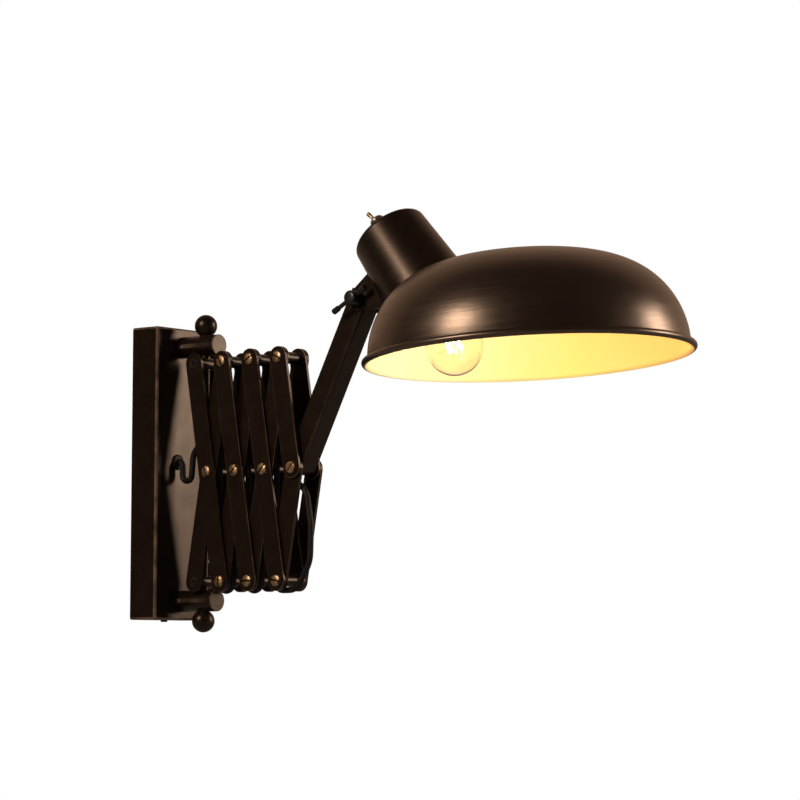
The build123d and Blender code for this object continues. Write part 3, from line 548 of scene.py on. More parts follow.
@once
def cord_rubber(name):
    """Black sheath of the cord, and its grommets."""
    return moulded_material(name, colours().rubber, 0.5, 1400.0, 0.15, 0.25)


@once
def black_moulding(name):
    """Black moulded lampholder, terminal block and switch body."""
    return moulded_material(name, (0.012, 0.010, 0.009), 0.3, 900.0, 0.08)


@once
def globe_glass(name):
    """Clear glass of the globe."""
    material, tree, shader, vector = fresh_material(name)
    for key, value in {"Transmission Weight": 1.0, "IOR": 1.45, "Metallic": 0.0}.items():
        shader.inputs[key].default_value = value
    cloud = tree.noise(vector, 60.0, 3.0)
    tree.feed(shader.inputs["Roughness"], tree.span(cloud, 0.4, 0.7, 0.0, 0.03))
    tree.feed(shader.inputs["Base Color"], tree.mix(
        tree.span(cloud, 0.3, 0.7), (1.0, 1.0, 0.98, 1.0), (1.0, 0.97, 0.90, 1.0)))
    return material


@once
def lit_filament(name):
    """Glowing wire."""
    material, tree, shader, vector = fresh_material(name)
    hot = tree.mix(tree.span(tree.noise(vector, 300.0, 2.0), 0.35, 0.65),
                   four(colours().glow), (1.0, 0.88, 0.62, 1.0))
    tree.feed(shader.inputs["Emission Color"], hot)
    shader.inputs["Emission Strength"].default_value = 60.0
    shader.inputs["Base Color"].default_value = (0.2, 0.15, 0.1, 1.0)
    return material


# ----------------------------------------------------------------------- mesh helpers


def object_from(name, builder, materials):
    """Object with the mesh of a bmesh, at the origin."""
    mesh = bpy.data.meshes.new(name)
    builder.to_mesh(mesh)
    builder.free()
    for material in materials:
        mesh.materials.append(material)
    piece = bpy.data.objects.new(name, mesh)
    bpy.context.scene.collection.objects.link(piece)
    return piece


def smoothed(mesh, angle=SMOOTH_BELOW):
    """Smooth shading, with edges kept sharp above an angle."""
    mesh.polygons.foreach_set("use_smooth", [True] * len(mesh.polygons))
    mesh.set_sharp_from_angle(angle=angle)


def coated(piece, material):
    """Give every face of a piece one material."""
    piece.data.materials.clear()
    piece.data.materials.append(material)
    piece.data.polygons.foreach_set("material_index", [0] * len(piece.data.polygons))


def finished(piece, angle=SMOOTH_BELOW):
    """Turn a piece's live modifiers into its mesh."""
    bpy.context.view_layer.update()
    graph = bpy.context.evaluated_depsgraph_get()
    mesh = bpy.data.meshes.new_from_object(piece.evaluated_get(graph))
    old = piece.data
    piece.modifiers.clear()
    piece.data = mesh
    mesh.name = piece.name
    bpy.data.meshes.remove(old)
    smoothed(mesh, angle)
    return piece


def placed(piece, body, slot, *nodes):
    """Ride a finished piece on a body, in place of these CAD nodes."""
    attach(piece, body)
    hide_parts(*nodes)
    return piece


def softened(piece, width, segments=2, angle=30):
    """Round the edges of a piece that are sharper than an angle, keep its flat faces flat,
    and mark the narrow rounded faces, where the coat wears and takes a painted highlight."""
    bevel = piece.modifiers.new("Soft edges", "BEVEL")
    bevel.width = width
    bevel.segments = segments
    bevel.limit_method = "ANGLE"
    bevel.angle_limit = math.radians(angle)
    bevel.use_clamp_overlap = True
    finished(piece)
    flat = piece.modifiers.new("Flat faces stay flat", "WEIGHTED_NORMAL")
    flat.keep_sharp = True
    finished(piece)
    edge = piece.data.attributes.new("edge", "FLOAT", "FACE")
    points = piece.data.vertices
    for face, row in zip(piece.data.polygons, edge.data):
        corners = [points[index].co for index in face.vertices]
        sides = [(a - b).length for a, b in zip(corners, corners[1:] + corners[:1])]
        row.value = 1.0 if face.area < 0.8 * width * max(sides) else 0.0
    return piece


def body_name(node):
    """Body that a CAD node belongs to."""
    return frame["nodes"][node]["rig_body"]


def dressed(node, material, slot, width, segments=2):
    """Clean copy of a CAD node with softened edges, in the node's place."""
    builder = bmesh.new()
    builder.from_mesh(frame["nodes"][node].data)
    bmesh.ops.remove_doubles(builder, verts=builder.verts, dist=2e-6)
    bmesh.ops.dissolve_limit(
        builder, angle_limit=math.radians(0.6), verts=builder.verts, edges=builder.edges
    )
    piece = object_from(node + "_finish", builder, [material])
    softened(piece, width, segments)
    return placed(piece, body_name(node), slot, node)


def turned_about(origin, axis):
    """Matrix from a lathe frame, whose Z is the turning axis, to the lamp."""
    z = Vector(axis).normalized()
    x = Vector((1, 0, 0)) if abs(z.x) < 0.9 else Vector((0, 1, 0))
    y = z.cross(x).normalized()
    x = y.cross(z)
    turn = Matrix((x, y, z)).transposed().to_4x4()
    return Matrix.Translation(origin) @ turn


def lathe(builder, profile, matrix, segments=48, slot_index=0):
    """Add a solid of revolution from (radius, along) points in millimetres, listed so that
    the outside lies to the right of the way from the first point to the last."""
    rings = []
    for radius, along in profile:
        if radius < 1e-6:
            rings.append([builder.verts.new(matrix @ Vector((0, 0, along * MM)))])
            continue
        ring = []
        for step in range(segments):
            turn = 2 * math.pi * step / segments
            place = Vector((radius * math.cos(turn), radius * math.sin(turn), along)) * MM
            ring.append(builder.verts.new(matrix @ place))
        rings.append(ring)
    for low, high in zip(rings, rings[1:]):
        for step in range(segments):
            after = (step + 1) % segments
            if len(low) == 1 and len(high) == 1:
                continue
            if len(low) == 1:
                corners = [low[0], high[after], high[step]]
            elif len(high) == 1:
                corners = [low[step], low[after], high[0]]
            else:
                corners = [low[step], low[after], high[after], high[step]]
            builder.faces.new(corners).material_index = slot_index
    return rings


def spun(name, profiles, origin, axis, materials, segments=48):
    """Object made of solids of revolution that share one axis."""
    builder = bmesh.new()
    matrix = turned_about(origin, axis)
    for profile in profiles:
        lathe(builder, profile, matrix, segments)
    bmesh.ops.remove_doubles(builder, verts=builder.verts, dist=1e-7)
    bmesh.ops.recalc_face_normals(builder, faces=builder.faces)
    piece = object_from(name, builder, materials)
    smoothed(piece.data)
    return piece


def turned(node, profile, origin, axis, material, slot, segments=48):
    """Solid of revolution in a CAD node's place."""
    piece = spun(node + "_finish", [profile], origin, axis, [material], segments)
    return placed(piece, body_name(node), slot, node)


def side_way(direction):
    """Frame direction of a side-view direction."""
    return Vector((0, -direction[0], direction[1]))


def cut_away(piece, tool):
    """Take a tool's volume out of a piece, then drop the tool."""
    cut = piece.modifiers.new("Cut", "BOOLEAN")
    cut.operation = "DIFFERENCE"
    cut.solver = "EXACT"
    cut.object = tool
    finished(piece)
    bpy.data.objects.remove(tool)
    return piece


def block(name, low, high, matrix=Matrix()):
    """Plain box between two corners in millimetres, for use as a cutting tool."""
    builder = bmesh.new()
    bmesh.ops.create_cube(builder, size=1.0)
    for vertex in builder.verts:
        place = [low[i] if vertex.co[i] < 0 else high[i] for i in range(3)]
        vertex.co = matrix @ (Vector(place) * MM)
    return object_from(name, builder, [])


# -------------------------------------------------------------------- geometry trees


def geometry_tree(name, inputs):
    """New geometry node group with a geometry output and these inputs."""
    group = bpy.data.node_groups.new(name, "GeometryNodeTree")
    group.interface.new_socket("Geometry", in_out="INPUT", socket_type="NodeSocketGeometry")
    for label, kind, default in inputs:
        socket = group.interface.new_socket(label, in_out="INPUT", socket_type=kind)
        if default is not None:
            socket.default_value = default
    group.interface.new_socket("Geometry", in_out="OUTPUT", socket_type="NodeSocketGeometry")
    tree = Tree(group)
    return group, tree, tree.add("NodeGroupInput").outputs, tree.add("NodeGroupOutput").inputs


def with_tree(piece, group, values):
    """Put a geometry tree on a piece, with these input values."""
    modifier = piece.modifiers.new(group.name, "NODES")
    modifier.node_group = group
    for item in group.interface.items_tree:
        if item.item_type == "SOCKET" and item.in_out == "INPUT" and item.name in values:
            modifier[item.identifier] = values[item.name]
    return modifier


def closing(tree, result, geometry, material):
    """End a tree in Realize Instances and Set Material."""
    real = tree.add("GeometryNodeRealizeInstances", {"Geometry": geometry})
    coated = tree.add("GeometryNodeSetMaterial", {"Geometry": real.outputs[0]})
    tree.feed(coated.inputs["Material"], material)
    tree.feed(result["Geometry"], coated.outputs[0])


def screw_set_tree():
    """A screw on each point, its head towards the point's normal, turned by chance."""
    if "Screw set" in bpy.data.node_groups:
        return bpy.data.node_groups["Screw set"]
    group, tree, given, result = geometry_tree(
        "Screw set",
        [
            ("Screw", "NodeSocketObject", None),
            ("Metal", "NodeSocketMaterial", None),
            ("Size", "NodeSocketFloat", 1.0),
            ("Seed", "NodeSocketInt", 4),
        ],
    )
    screw = tree.add("GeometryNodeObjectInfo", {"Object": given["Screw"]})
    facing = tree.add(
        "GeometryNodeInputNamedAttribute", {"Name": "facing"}, data_type="FLOAT_VECTOR")
    upright = tree.add(
        "FunctionNodeAlignEulerToVector", {"Vector": facing.outputs["Attribute"]}, axis="Z")
    chance = tree.add("FunctionNodeRandomValue", {
        2: 0.0, 3: math.pi, "Seed": given["Seed"]}, data_type="FLOAT")
    spin = tree.add("ShaderNodeCombineXYZ", {"Z": chance.outputs[1]})
    twisted = tree.add("FunctionNodeRotateEuler", {
        "Rotation": upright.outputs[0], "Rotate By": spin.outputs[0],
    }, rotation_type="EULER", space="LOCAL")
    copies = tree.add("GeometryNodeInstanceOnPoints", {
        "Points": given["Geometry"], "Instance": screw.outputs["Geometry"],
        "Rotation": twisted.outputs[0], "Scale": given["Size"],
    })
    closing(tree, result, copies.outputs[0], given["Metal"])
    return group


def spun_dome_tree():
    """Dome whose wall follows a rounded curve, as a sheet is spun over a former."""
    group, tree, given, result = geometry_tree(
        "Spun dome",
        [
            ("Radius", "NodeSocketFloat", 0.15),
            ("Height", "NodeSocketFloat", 0.09),
            ("Skirt", "NodeSocketFloat", 0.0035),
            ("Fullness up", "NodeSocketFloat", 1.867),
            ("Fullness out", "NodeSocketFloat", 3.37),
            ("Rings", "NodeSocketInt", 64),
            ("Segments", "NodeSocketInt", 192),
            ("Coat", "NodeSocketMaterial", None),
        ],
    )
    across = tree.plus(given["Rings"], 1.0)
    around = tree.plus(given["Segments"], 1.0)
    sheet = tree.add("GeometryNodeMeshGrid", {"Vertices X": across, "Vertices Y": around})
    index = tree.add("GeometryNodeInputIndex").outputs[0]
    ring = tree.math("FLOOR", tree.math("DIVIDE", tree.plus(index, 0.5), around))
    step = tree.math("SUBTRACT", index, tree.times(ring, around))
    last = tree.math("SUBTRACT", given["Rings"], 1.0)
    share = tree.math("MAXIMUM", tree.math("DIVIDE", tree.math("SUBTRACT", ring, 1.0), last), 0.0)
    rise = tree.math("SINE", tree.times(share, math.pi / 2))
    left = tree.math("SUBTRACT", 1.0, tree.math("POWER", rise, given["Fullness up"]))
    power = tree.math("DIVIDE", 1.0, given["Fullness out"])
    spread = tree.math("POWER", tree.math("MAXIMUM", left, 0.0), power)
    radius = tree.times(spread, given["Radius"])
    lift = tree.times(tree.math("MINIMUM", ring, 1.0), given["Skirt"])
    height = tree.plus(lift, tree.times(rise, given["Height"]))
    turn = tree.math("DIVIDE", tree.times(step, 2 * math.pi), given["Segments"])
    place = tree.add("ShaderNodeCombineXYZ", {
        "X": tree.times(radius, tree.math("COSINE", turn)),
        "Y": tree.times(radius, tree.math("SINE", turn)),
        "Z": height,
    })
    moved = tree.add("GeometryNodeSetPosition", {"Geometry": sheet.outputs["Mesh"]})
    tree.feed(moved.inputs["Position"], place.outputs[0])
    closed = tree.add("GeometryNodeMergeByDistance", {"Geometry": moved.outputs[0]})
    closed.inputs["Distance"].default_value = 1e-6
    closing(tree, result, closed.outputs[0], given["Coat"])
    return group


# -------------------------------------------------------------------------- operators


class LAMP_OT_wall_box(bpy.types.Operator):
    """Make the wall box, its strap, its two screws and the terminal block"""

    bl_idname = "lamp.wall_box"
    bl_label = "Wall box"

    def execute(self, context):
        dressed("wall_box", bronze_paint(), "dark_paint", 0.0006)
        dressed("wall_strap", plated_steel(), "zinc_steel", 0.0003)
        dressed("box_screws", bronze_paint(), "dark_paint", 0.0001)
        dressed("terminal_block", black_moulding(), "black_plastic", 0.0004)
        return {"FINISHED"}


class LAMP_OT_brackets(bpy.types.Operator):
    """Make the bracket rods, their fixings, the upright rod and its ball nuts"""

    bl_idname = "lamp.brackets"
    bl_label = "Brackets and upright rod"

    def execute(self, context):
        dressed("upper_bracket_rod", bronze_paint(), "dark_paint", 0.0002)
        dressed("lower_bracket_rod", bronze_paint(), "dark_paint", 0.0002)
        dressed("bracket_stubs", plated_steel(), "zinc_steel", 0.0002)
        dressed("bracket_screws", plated_steel(), "zinc_steel", 0.0002)
        dressed("grub_screws", nickel_plate(), "nickel", 0.0001)
        seat = BALL_UP - BALL_FLAT
        rod = [(0, -seat - 9), (3, -seat - 9), (3, -seat), (5, -seat), (5, seat), (3, seat),
               (3, seat + 9), (0, seat + 9)]
        turned("upright_rod", rod, at((AXIS_OUT, 0)), (0, 0, 1), bronze_paint(), "dark_paint")
        builder = bmesh.new()
        flat = math.asin(BALL_FLAT / BALL_RADIUS)
        for side in (1, -1):
            matrix = turned_about(at((AXIS_OUT, side * BALL_UP)), (0, 0, side))
            arc = [
                (BALL_RADIUS * math.cos(a), BALL_RADIUS * math.sin(a))
                for a in (-flat + (flat + math.pi / 2) * i / 30 for i in range(31))
            ]
            arc[-1] = (0, BALL_RADIUS)
            foot = [(3.05, 0), (3.05, -BALL_FLAT), (4.6, -BALL_FLAT), (4.9, 0.2 - BALL_FLAT)]
            lathe(builder, [(0, 0)] + foot + arc, matrix, 64)
        bmesh.ops.recalc_face_normals(builder, faces=builder.faces)
        balls = object_from("ball_nuts_finish", builder, [bronze_paint()])
        smoothed(balls.data)
        placed(balls, "wall_bracket", "dark_paint", "ball_nuts")
        return {"FINISHED"}


class LAMP_OT_bars(bpy.types.Operator):
    """Make the flat bars, their spacers and the two collars on the upright rod"""

    bl_idname = "lamp.bars"
    bl_label = "Scissor bars"

    def execute(self, context):
        width = sizes().edge_round
        for letter in "abcdefgh":
            for side in ("near", "far"):
                dressed(f"bar_{letter}_{side}", bronze_paint(), "dark_paint", width)
        for letter in "bdfh":
            dressed(f"spacers_{letter}", bronze_paint(), "dark_paint", 0.0003)
        for end in ("upper", "lower"):
            dressed(f"{end}_collar", bronze_paint(), "dark_paint", 0.0003)
            dressed(f"{end}_collar_screws", blackened_steel(), "black_steel", 0.0001)
        return {"FINISHED"}


def slotted_screw(head, shank_length):
    """One slotted screw, its head's underside at the origin and its slot along X."""
    edge = head / MM / 2
    dome = [
        (edge, 0.0), (edge, 1.0), (edge * 0.965, 1.45), (edge * 0.88, 1.85),
        (edge * 0.7, 2.25), (edge * 0.45, 2.5), (edge * 0.2, 2.58), (0, 2.6),
    ]
    shank = [(0, -shank_length), (2.7, -shank_length), (3.0, -shank_length + 0.4), (3.0, 0.0)]
    screw = spun("screw", [shank + dome], Vector(), (0, 0, 1), [aged_brass()], 40)
    cut_away(screw, block("slot", (-8, -0.85, 1.2), (8, 0.85, 4)))
    softened(screw, 0.00012, 2, 35)
    # Faces in the slot, and partly those below the head, are marked to be drawn darker and rougher.
    dirt = screw.data.attributes.new("dirt", "FLOAT", "FACE")
    for face, row in zip(screw.data.polygons, dirt.data):
        place = face.center / MM
        if abs(place.y) < 0.9 and 1.1 < place.z < 2.1:
            row.value = 1.0
        elif place.z < 0.35:
            row.value = 0.7
    return screw


class LAMP_OT_pivot_screws(bpy.types.Operator):
    """Set a slotted brass screw on each end of every spacer"""

    bl_idname = "lamp.pivot_screws"
    bl_label = "Pivot screws"

    def execute(self, context):
        screw = slotted_screw(sizes().screw_head, SCREW_SHANK)
        for order, (bar, (low, high)) in enumerate(RISING.items()):
            places = []
            for step in range(max(low, 1), min(high, 6) + 1):
                height = 0.0
                if step % 2 == 0:
                    height = PIVOT_UP if step == high else -PIVOT_UP
                for side in (1, -1):
                    places.append((at((out_of_wall(step), height), side * SURFACE), side))
            self.screw_set(screw, bar, places, order)
        bpy.data.objects.remove(screw)
        return {"FINISHED"}

    def screw_set(self, screw, bar, places, order):
        """The screws of one bar, as one piece."""
        name = bar.replace("bar", "screws")
        mesh = bpy.data.meshes.new(name)
        mesh.from_pydata([place for place, _ in places], [], [])
        mesh.materials.append(aged_brass())
        facing = mesh.attributes.new("facing", "FLOAT_VECTOR", "POINT")
        for row, (_, side) in zip(facing.data, places):
            row.vector = (side, 0, 0)
        piece = bpy.data.objects.new(name + "_finish", mesh)
        bpy.context.scene.collection.objects.link(piece)
        with_tree(piece, screw_set_tree(), {"Screw": screw, "Metal": aged_brass(),
                                            "Size": 1.0, "Seed": 4 + order})
        finished(piece)
        coated(piece, aged_brass())
        placed(piece, bar, "brass", name)


class LAMP_OT_arm(bpy.types.Operator):
    """Make the square arm, its cross barrel and the bolt it turns on"""

    bl_idname = "lamp.arm"
    bl_label = "Arm"

    def execute(self, context):
        dressed("arm_tube", bronze_paint(), "dark_paint", 0.0002)
        dressed("arm_barrel", bronze_paint(), "dark_paint", 0.0003)
        dressed("end_bolt", aged_brass(), "brass", 0.00012)
        dressed("end_nut", aged_brass(), "brass", 0.00012)
        return {"FINISHED"}


def shade_matrix():
    """From the shade's own frame, with Z up its axis, to the lamp."""
    return Matrix.Translation(at(SHADE_AT)) @ Matrix.Rotation(-SHADE_TILT, 4, "X")


def dome_sheet(name):
    """The dome's surface as a mesh object, in the lamp's frame."""
    piece = object_from(name, bmesh.new(), [dome_paint()])
    with_tree(piece, bpy.data.node_groups.get("Spun dome") or spun_dome_tree(), {
        "Radius": sizes().shade_radius, "Height": sizes().shade_height,
        "Skirt": SHADE_SKIRT * MM, "Fullness up": 1.867, "Fullness out": 3.37,
        "Rings": 72, "Segments": SHADE_STEPS, "Coat": dome_paint(),
    })
    finished(piece)
    coated(piece, dome_paint())
    piece.data.transform(shade_matrix())
    return piece


class LAMP_OT_shade(bpy.types.Operator):
    """Make the spun shade with its rolled bead and the mouth below the cup"""

    bl_idname = "lamp.shade"
    bl_label = "Shade"

    def execute(self, context):
        sheet = sizes().shade_sheet / MM
        piece = dome_sheet("shade_finish")
        builder = bmesh.new()
        builder.from_mesh(piece.data)
        bmesh.ops.recalc_face_normals(builder, faces=builder.faces)
        centre = shade_matrix() @ Vector((0, 0, 0.03))
        face = max(builder.faces, key=lambda f: (f.calc_center_median() - centre).length)
        if face.normal.dot(face.calc_center_median() - centre) < 0:
            bmesh.ops.reverse_faces(builder, faces=builder.faces)
        builder.to_mesh(piece.data)
        builder.free()
        piece.data.materials.append(white_enamel())
        wall = piece.modifiers.new("Sheet", "SOLIDIFY")
        wall.thickness = sheet * MM
        wall.offset = -1.0
        wall.use_even_offset = True
        wall.material_offset = 1
        wall.material_offset_rim = 1
        finished(piece)
        mouth = spun("mouth", [[(0, 50), (40.5, 50), (40.5, 135), (0, 135)]], at(CUP_TOP),
                     side_way(CUP_DOWN), [], 96)
        cut_away(piece, mouth)
        self.bead(piece)
        smoothed(piece.data, math.radians(40))
        placed(piece, "head", "shade_paint", "shade")
        return {"FINISHED"}

    def bead(self, piece):
        """Add the rolled bead, painted outside, and enamelled with the painted glow on the side of
        the bulb.
        """
        radius = sizes().bead_radius
        ring = sizes().shade_radius + radius - sizes().shade_sheet
        builder = bmesh.new()
        builder.from_mesh(piece.data)
        matrix = shade_matrix()
        loops = []
        for step in range(SHADE_STEPS):
            turn = 2 * math.pi * step / SHADE_STEPS
            loop = []
            for corner in range(16):
                round_ = 2 * math.pi * corner / 16
                reach = ring + radius * math.cos(round_)
                loop.append(builder.verts.new(matrix @ Vector(
                    (reach * math.cos(turn), reach * math.sin(turn), radius * math.sin(round_))
                )))
            loops.append(loop)
        for step in range(SHADE_STEPS):
            this, after = loops[step], loops[(step + 1) % SHADE_STEPS]
            for corner in range(16):
                more = (corner + 1) % 16
                face = builder.faces.new((this[corner], after[corner], after[more], this[more]))
                face.material_index = 1 if 6 <= corner < 12 else 0
        builder.to_mesh(piece.data)
        builder.free()


class LAMP_OT_cup(bpy.types.Operator):
    """Make the tapered cup, cut to stand on the dome, with the arm's bracket and rivets"""

    bl_idname = "lamp.cup"
    bl_label = "Cup and head bracket"

    def execute(self, context):
        radius, edge, wall, reach = 38.0, 4.5, 1.2, 97.0
        slope = math.tan(math.radians(3.82))
        outside, inside = [(0, 0)], [(0, wall)]
        for i in range(11):
            turn = math.pi / 2 * i / 10
            outside.append((radius - edge + edge * math.sin(turn), edge - edge * math.cos(turn)))
            inner = edge - wall
            inside.append((radius - edge + inner * math.sin(turn), edge - inner * math.cos(turn)))
        outside.append((radius + reach * slope, reach))
        inside.append((radius - wall + reach * slope, reach))
        profile = outside + inside[::-1]
        cup = spun("cup_finish", [profile], at(CUP_TOP), side_way(CUP_DOWN), [cup_paint()], 120)
        dome = dome_sheet("dome_tool")
        builder = bmesh.new()
        builder.from_mesh(dome.data)
        edges = [edge for edge in builder.edges if edge.is_boundary]
        bmesh.ops.holes_fill(builder, edges=edges, sides=0)
        bmesh.ops.recalc_face_normals(builder, faces=builder.faces)
        builder.to_mesh(dome.data)
        builder.free()
        cut_away(cup, dome)
        self.enamelled(cup)
        placed(cup, "head", "dark_paint", "cup")
        dressed("head_bracket", bronze_paint(), "dark_paint", 0.0005, 3)
        dressed("bracket_rivets", blackened_steel(), "black_steel", 0.0004)
        return {"FINISHED"}

    def enamelled(self, cup):
        """Give the faces inside the cup the shade's white enamel and its painted glow."""
        cup.data.materials.append(white_enamel())
        down = side_way(CUP_DOWN)
        for face in cup.data.polygons:
            arm = face.center - at(CUP_TOP)
            along = arm.dot(down)
            away = arm - down * along
            if along > 0.003 and face.normal.dot(away) < -1e-5:
                face.material_index = 1
            elif 0.0008 < along < 0.003 and face.normal.dot(down) > 0.5:
                face.material_index = 1


class LAMP_OT_switch(bpy.types.Operator):
    """Make the toggle switch on the cup's top"""

    bl_idname = "lamp.switch"
    bl_label = "Toggle switch"

    def execute(self, context):
        up = side_way((-CUP_DOWN[0], -CUP_DOWN[1]))
        foot = at(in_cup(0, 5.0), -15)
        dressed("switch_body", black_moulding(), "black_plastic", 0.0003)
        dressed("switch_nut", nickel_plate(), "nickel", 0.0003)
        thread = []
        for turn in range(7):
            along = 2.6 + turn * 0.9
            thread += [(6.0, along), (5.55, along + 0.45)]
        bush = [(5.0, -1)] + thread + [(7.0, 8.9), (7.3, 9.2), (7.3, 10.6), (6.6, 11.9),
                                       (5.2, 12.6), (4.3, 12.6), (4.2, 12.4), (4.2, 4.0)]
        collar = spun("switch_bush_finish", [bush + [(5.0, -1)]], foot, up, [nickel_plate()], 48)
        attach(collar, "head")
        lean = Matrix.Rotation(math.radians(-13), 3, "X") @ up
        lever = [(0, -1.9), (1.3, -1.4), (1.9, 0), (1.6, 1.1), (1.25, 2.2), (1.35, 7), (1.75, 12.5),
                 (2.1, 16.6), (2.15, 17.6), (1.95, 18.6), (1.35, 19.2), (0, 19.4)]
        turned("switch_lever", lever, foot + up * 5.6 * MM, lean, aged_brass(), "brass", 32)
        return {"FINISHED"}


def holder_axis():
    """Unit side-view direction of the lampholder and bulb, and the bulb's reach."""
    away = (BULB_AT[0] - HOLDER_BACK[0], BULB_AT[1] - HOLDER_BACK[1])
    reach = math.hypot(*away)
    return side_way((away[0] / reach, away[1] / reach)), reach


class LAMP_OT_lampholder(bpy.types.Operator):
    """Make the moulded lampholder and its bridge"""

    bl_idname = "lamp.lampholder"
    bl_label = "Lampholder"

    def execute(self, context):
        way, reach = holder_axis()
        front = reach - BULB_NECK_BACK
        skirt = [(19.5, 26.0)]
        along = 27.0
        while along < front - 6:
            skirt += [(19.5, along), (19.1, along + 0.5), (19.5, along + 1.0)]
            along += 2.6
        profile = [(0, -5.6), (4.6, -5.6), (5, -5.2), (5, 0), (16, 0), (17, 2), (17, 24)]
        profile += skirt + [(19.5, front - 1.5), (18.6, front), (14.2, front), (13.8, front - 0.5),
                            (13.8, front - 28), (0, front - 28)]
        turned("lampholder", profile, at(HOLDER_BACK), way, black_moulding(),
               "holder_plastic", 64)
        dressed("holder_bridge", plated_steel(), "zinc_steel", 0.0002)
        return {"FINISHED"}


class LAMP_OT_bulb(bpy.types.Operator):
    """Make the clear bulb with its cap, stem and lit filament"""

    bl_idname = "lamp.bulb"
    bl_label = "Bulb"

    def execute(self, context):
        way, reach = holder_axis()
        neck = reach - BULB_NECK_BACK
        origin = at(HOLDER_BACK)
        wall = 0.8
        outer = self.globe(reach, neck, 0.0)
        inner = self.globe(reach, neck, wall)
        glass = turned("bulb_glass", outer + inner[::-1] + [outer[0]], origin, way,
                       globe_glass(), "clear_glass", 72)
        glass.visible_shadow = False
        thread = [(0, neck - 0.4), (12.2, neck - 0.4), (12.9, neck - 2)]
        for turn in range(5):
            along = neck - 3.2 - turn * 3.2
            thread += [(12.9, along), (12.0, along - 1.6)]
        cap = thread + [(12.6, neck - 19.6), (10, neck - 22), (5.5, neck - 25), (0, neck - 25)]
        turned("bulb_cap", cap, origin, way, nickel_plate(), "cap_metal")
        self.mount(reach, neck, origin, way)
        self.lamp(reach, origin, way)
        return {"FINISHED"}

    def globe(self, reach, neck, inset):
        """Outline of the globe, from the neck to its tip."""
        radius = sizes().bulb_radius / MM - inset
        foot = 12.2 - inset
        leave = math.radians(48)
        side = (radius * math.sin(leave), reach - radius * math.cos(leave))
        points = []
        for i in range(13):
            t = i / 12
            ease = t * t * (3 - 2 * t)
            points.append((foot + (side[0] - foot) * ease ** 1.15,
                           neck + (side[1] - neck) * t))
        for i in range(1, 33):
            turn = leave + (math.pi - leave) * i / 32
            points.append((radius * math.sin(turn), reach - radius * math.cos(turn)))
        points[-1] = (0, reach + radius)
        return points

    def mount(self, reach, neck, origin, way):
        """Glass stem and the folded filament on its support wires."""
        stem = [(0, neck), (6.5, neck), (5.6, neck + 2), (3.0, neck + 7), (2.2, neck + 12),
                (2.2, reach - 15), (2.6, reach - 14), (1.8, reach - 12.8), (0, reach - 12.6)]
        piece = spun("bulb_stem_finish", [stem], origin, way, [globe_glass()], 32)
        piece.visible_shadow = False
        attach(piece, "head")
        matrix = turned_about(origin, way)
        curve = bpy.data.curves.new("filament", "CURVE")
        curve.dimensions = "3D"
        curve.bevel_depth = 0.00062
        curve.bevel_resolution = 3
        curve.use_fill_caps = True
        spline = curve.splines.new("POLY")
        folds = 12
        points = [(-2.6, 0.0, reach - 15.0)]
        for i in range(folds + 1):
            turn = math.pi * 1.75 * i / folds - math.pi * 0.875
            high = i % 2
            points.append((7.0 * math.sin(turn), 7.0 * math.cos(turn),
                           reach + (4.5 if high else -4.5)))
        points.append((2.6, 0.0, reach - 15.0))
        spline.points.add(len(points) - 1)
        for row, point in zip(spline.points, points):
            row.co = (*(matrix @ (Vector(point) * MM)), 1.0)
        curve.materials.append(lit_filament())
        wire = bpy.data.objects.new("filament_finish", curve)
        bpy.context.scene.collection.objects.link(wire)
        bpy.context.view_layer.update()
        graph = bpy.context.evaluated_depsgraph_get()
        mesh = bpy.data.meshes.new_from_object(wire.evaluated_get(graph))
        bpy.data.objects.remove(wire)
        builder = bmesh.new()
        builder.from_mesh(mesh)
        bmesh.ops.remove_doubles(builder, verts=builder.verts, dist=1e-7)
        bmesh.ops.recalc_face_normals(builder, faces=builder.faces)
        filament = object_from("filament_finish", builder, [lit_filament()])
        smoothed(filament.data)
        placed(filament, "head", "filament", "filament_mount")

    def lamp(self, reach, origin, way):
        """Warm light of the filament, carried by the head."""
        light = bpy.data.lights.new("filament_light", "POINT")
        light.color = colours().glow
        light.energy = sizes().glow_power
        light.shadow_soft_size = 0.012
        holder = bpy.data.objects.new("filament_light", light)
        holder.location = origin + way * reach * MM
        holder.visible_camera = False
        holder.visible_transmission = False
        holder.visible_glossy = False
        bpy.context.scene.collection.objects.link(holder)
        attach(holder, "head")


class LAMP_OT_clamp(bpy.types.Operator):
    """Make the clamp screw, its sliding tommy bar and its nut"""

    bl_idname = "lamp.clamp"
    bl_label = "Clamp"

    def execute(self, context):
        hub = [(0, -36), (2.6, -36), (2.9, -35.6), (2.9, 0.1), (6.6, 0.1), (7.25, 0.8),
               (7.25, 12.0), (6.9, 13.3), (5.9, 14.2), (4.4, 14.6), (0, 14.6)]
        turned("clamp_screw", hub, at(JOINT, -CHEEK), (-1, 0, 0), blackened_steel(),
               "black_steel", 56)
        way = (math.cos(TOMMY_ANGLE), math.sin(TOMMY_ANGLE))
        long, short, knob, thin, thick = 26.5, 19.7, 8.0, 2.2, 3.0
        bar = [(0, -long), (thick - 0.7, -long), (thick, -long + 0.7),
               (thick, -long + knob - 0.6), (thick - 0.5, -long + knob), (thin, -long + knob),
               (thin, short - knob), (thick - 0.5, short - knob), (thick, short - knob + 0.6),
               (thick, short - 0.7), (thick - 0.7, short), (0, short)]
        turned("tommy_bar", bar, at(JOINT, -CHEEK - 9.8), side_way(way), blackened_steel(),
               "black_steel", 40)
        dressed("clamp_nut", blackened_steel(), "black_steel", 0.0004)
        return {"FINISHED"}


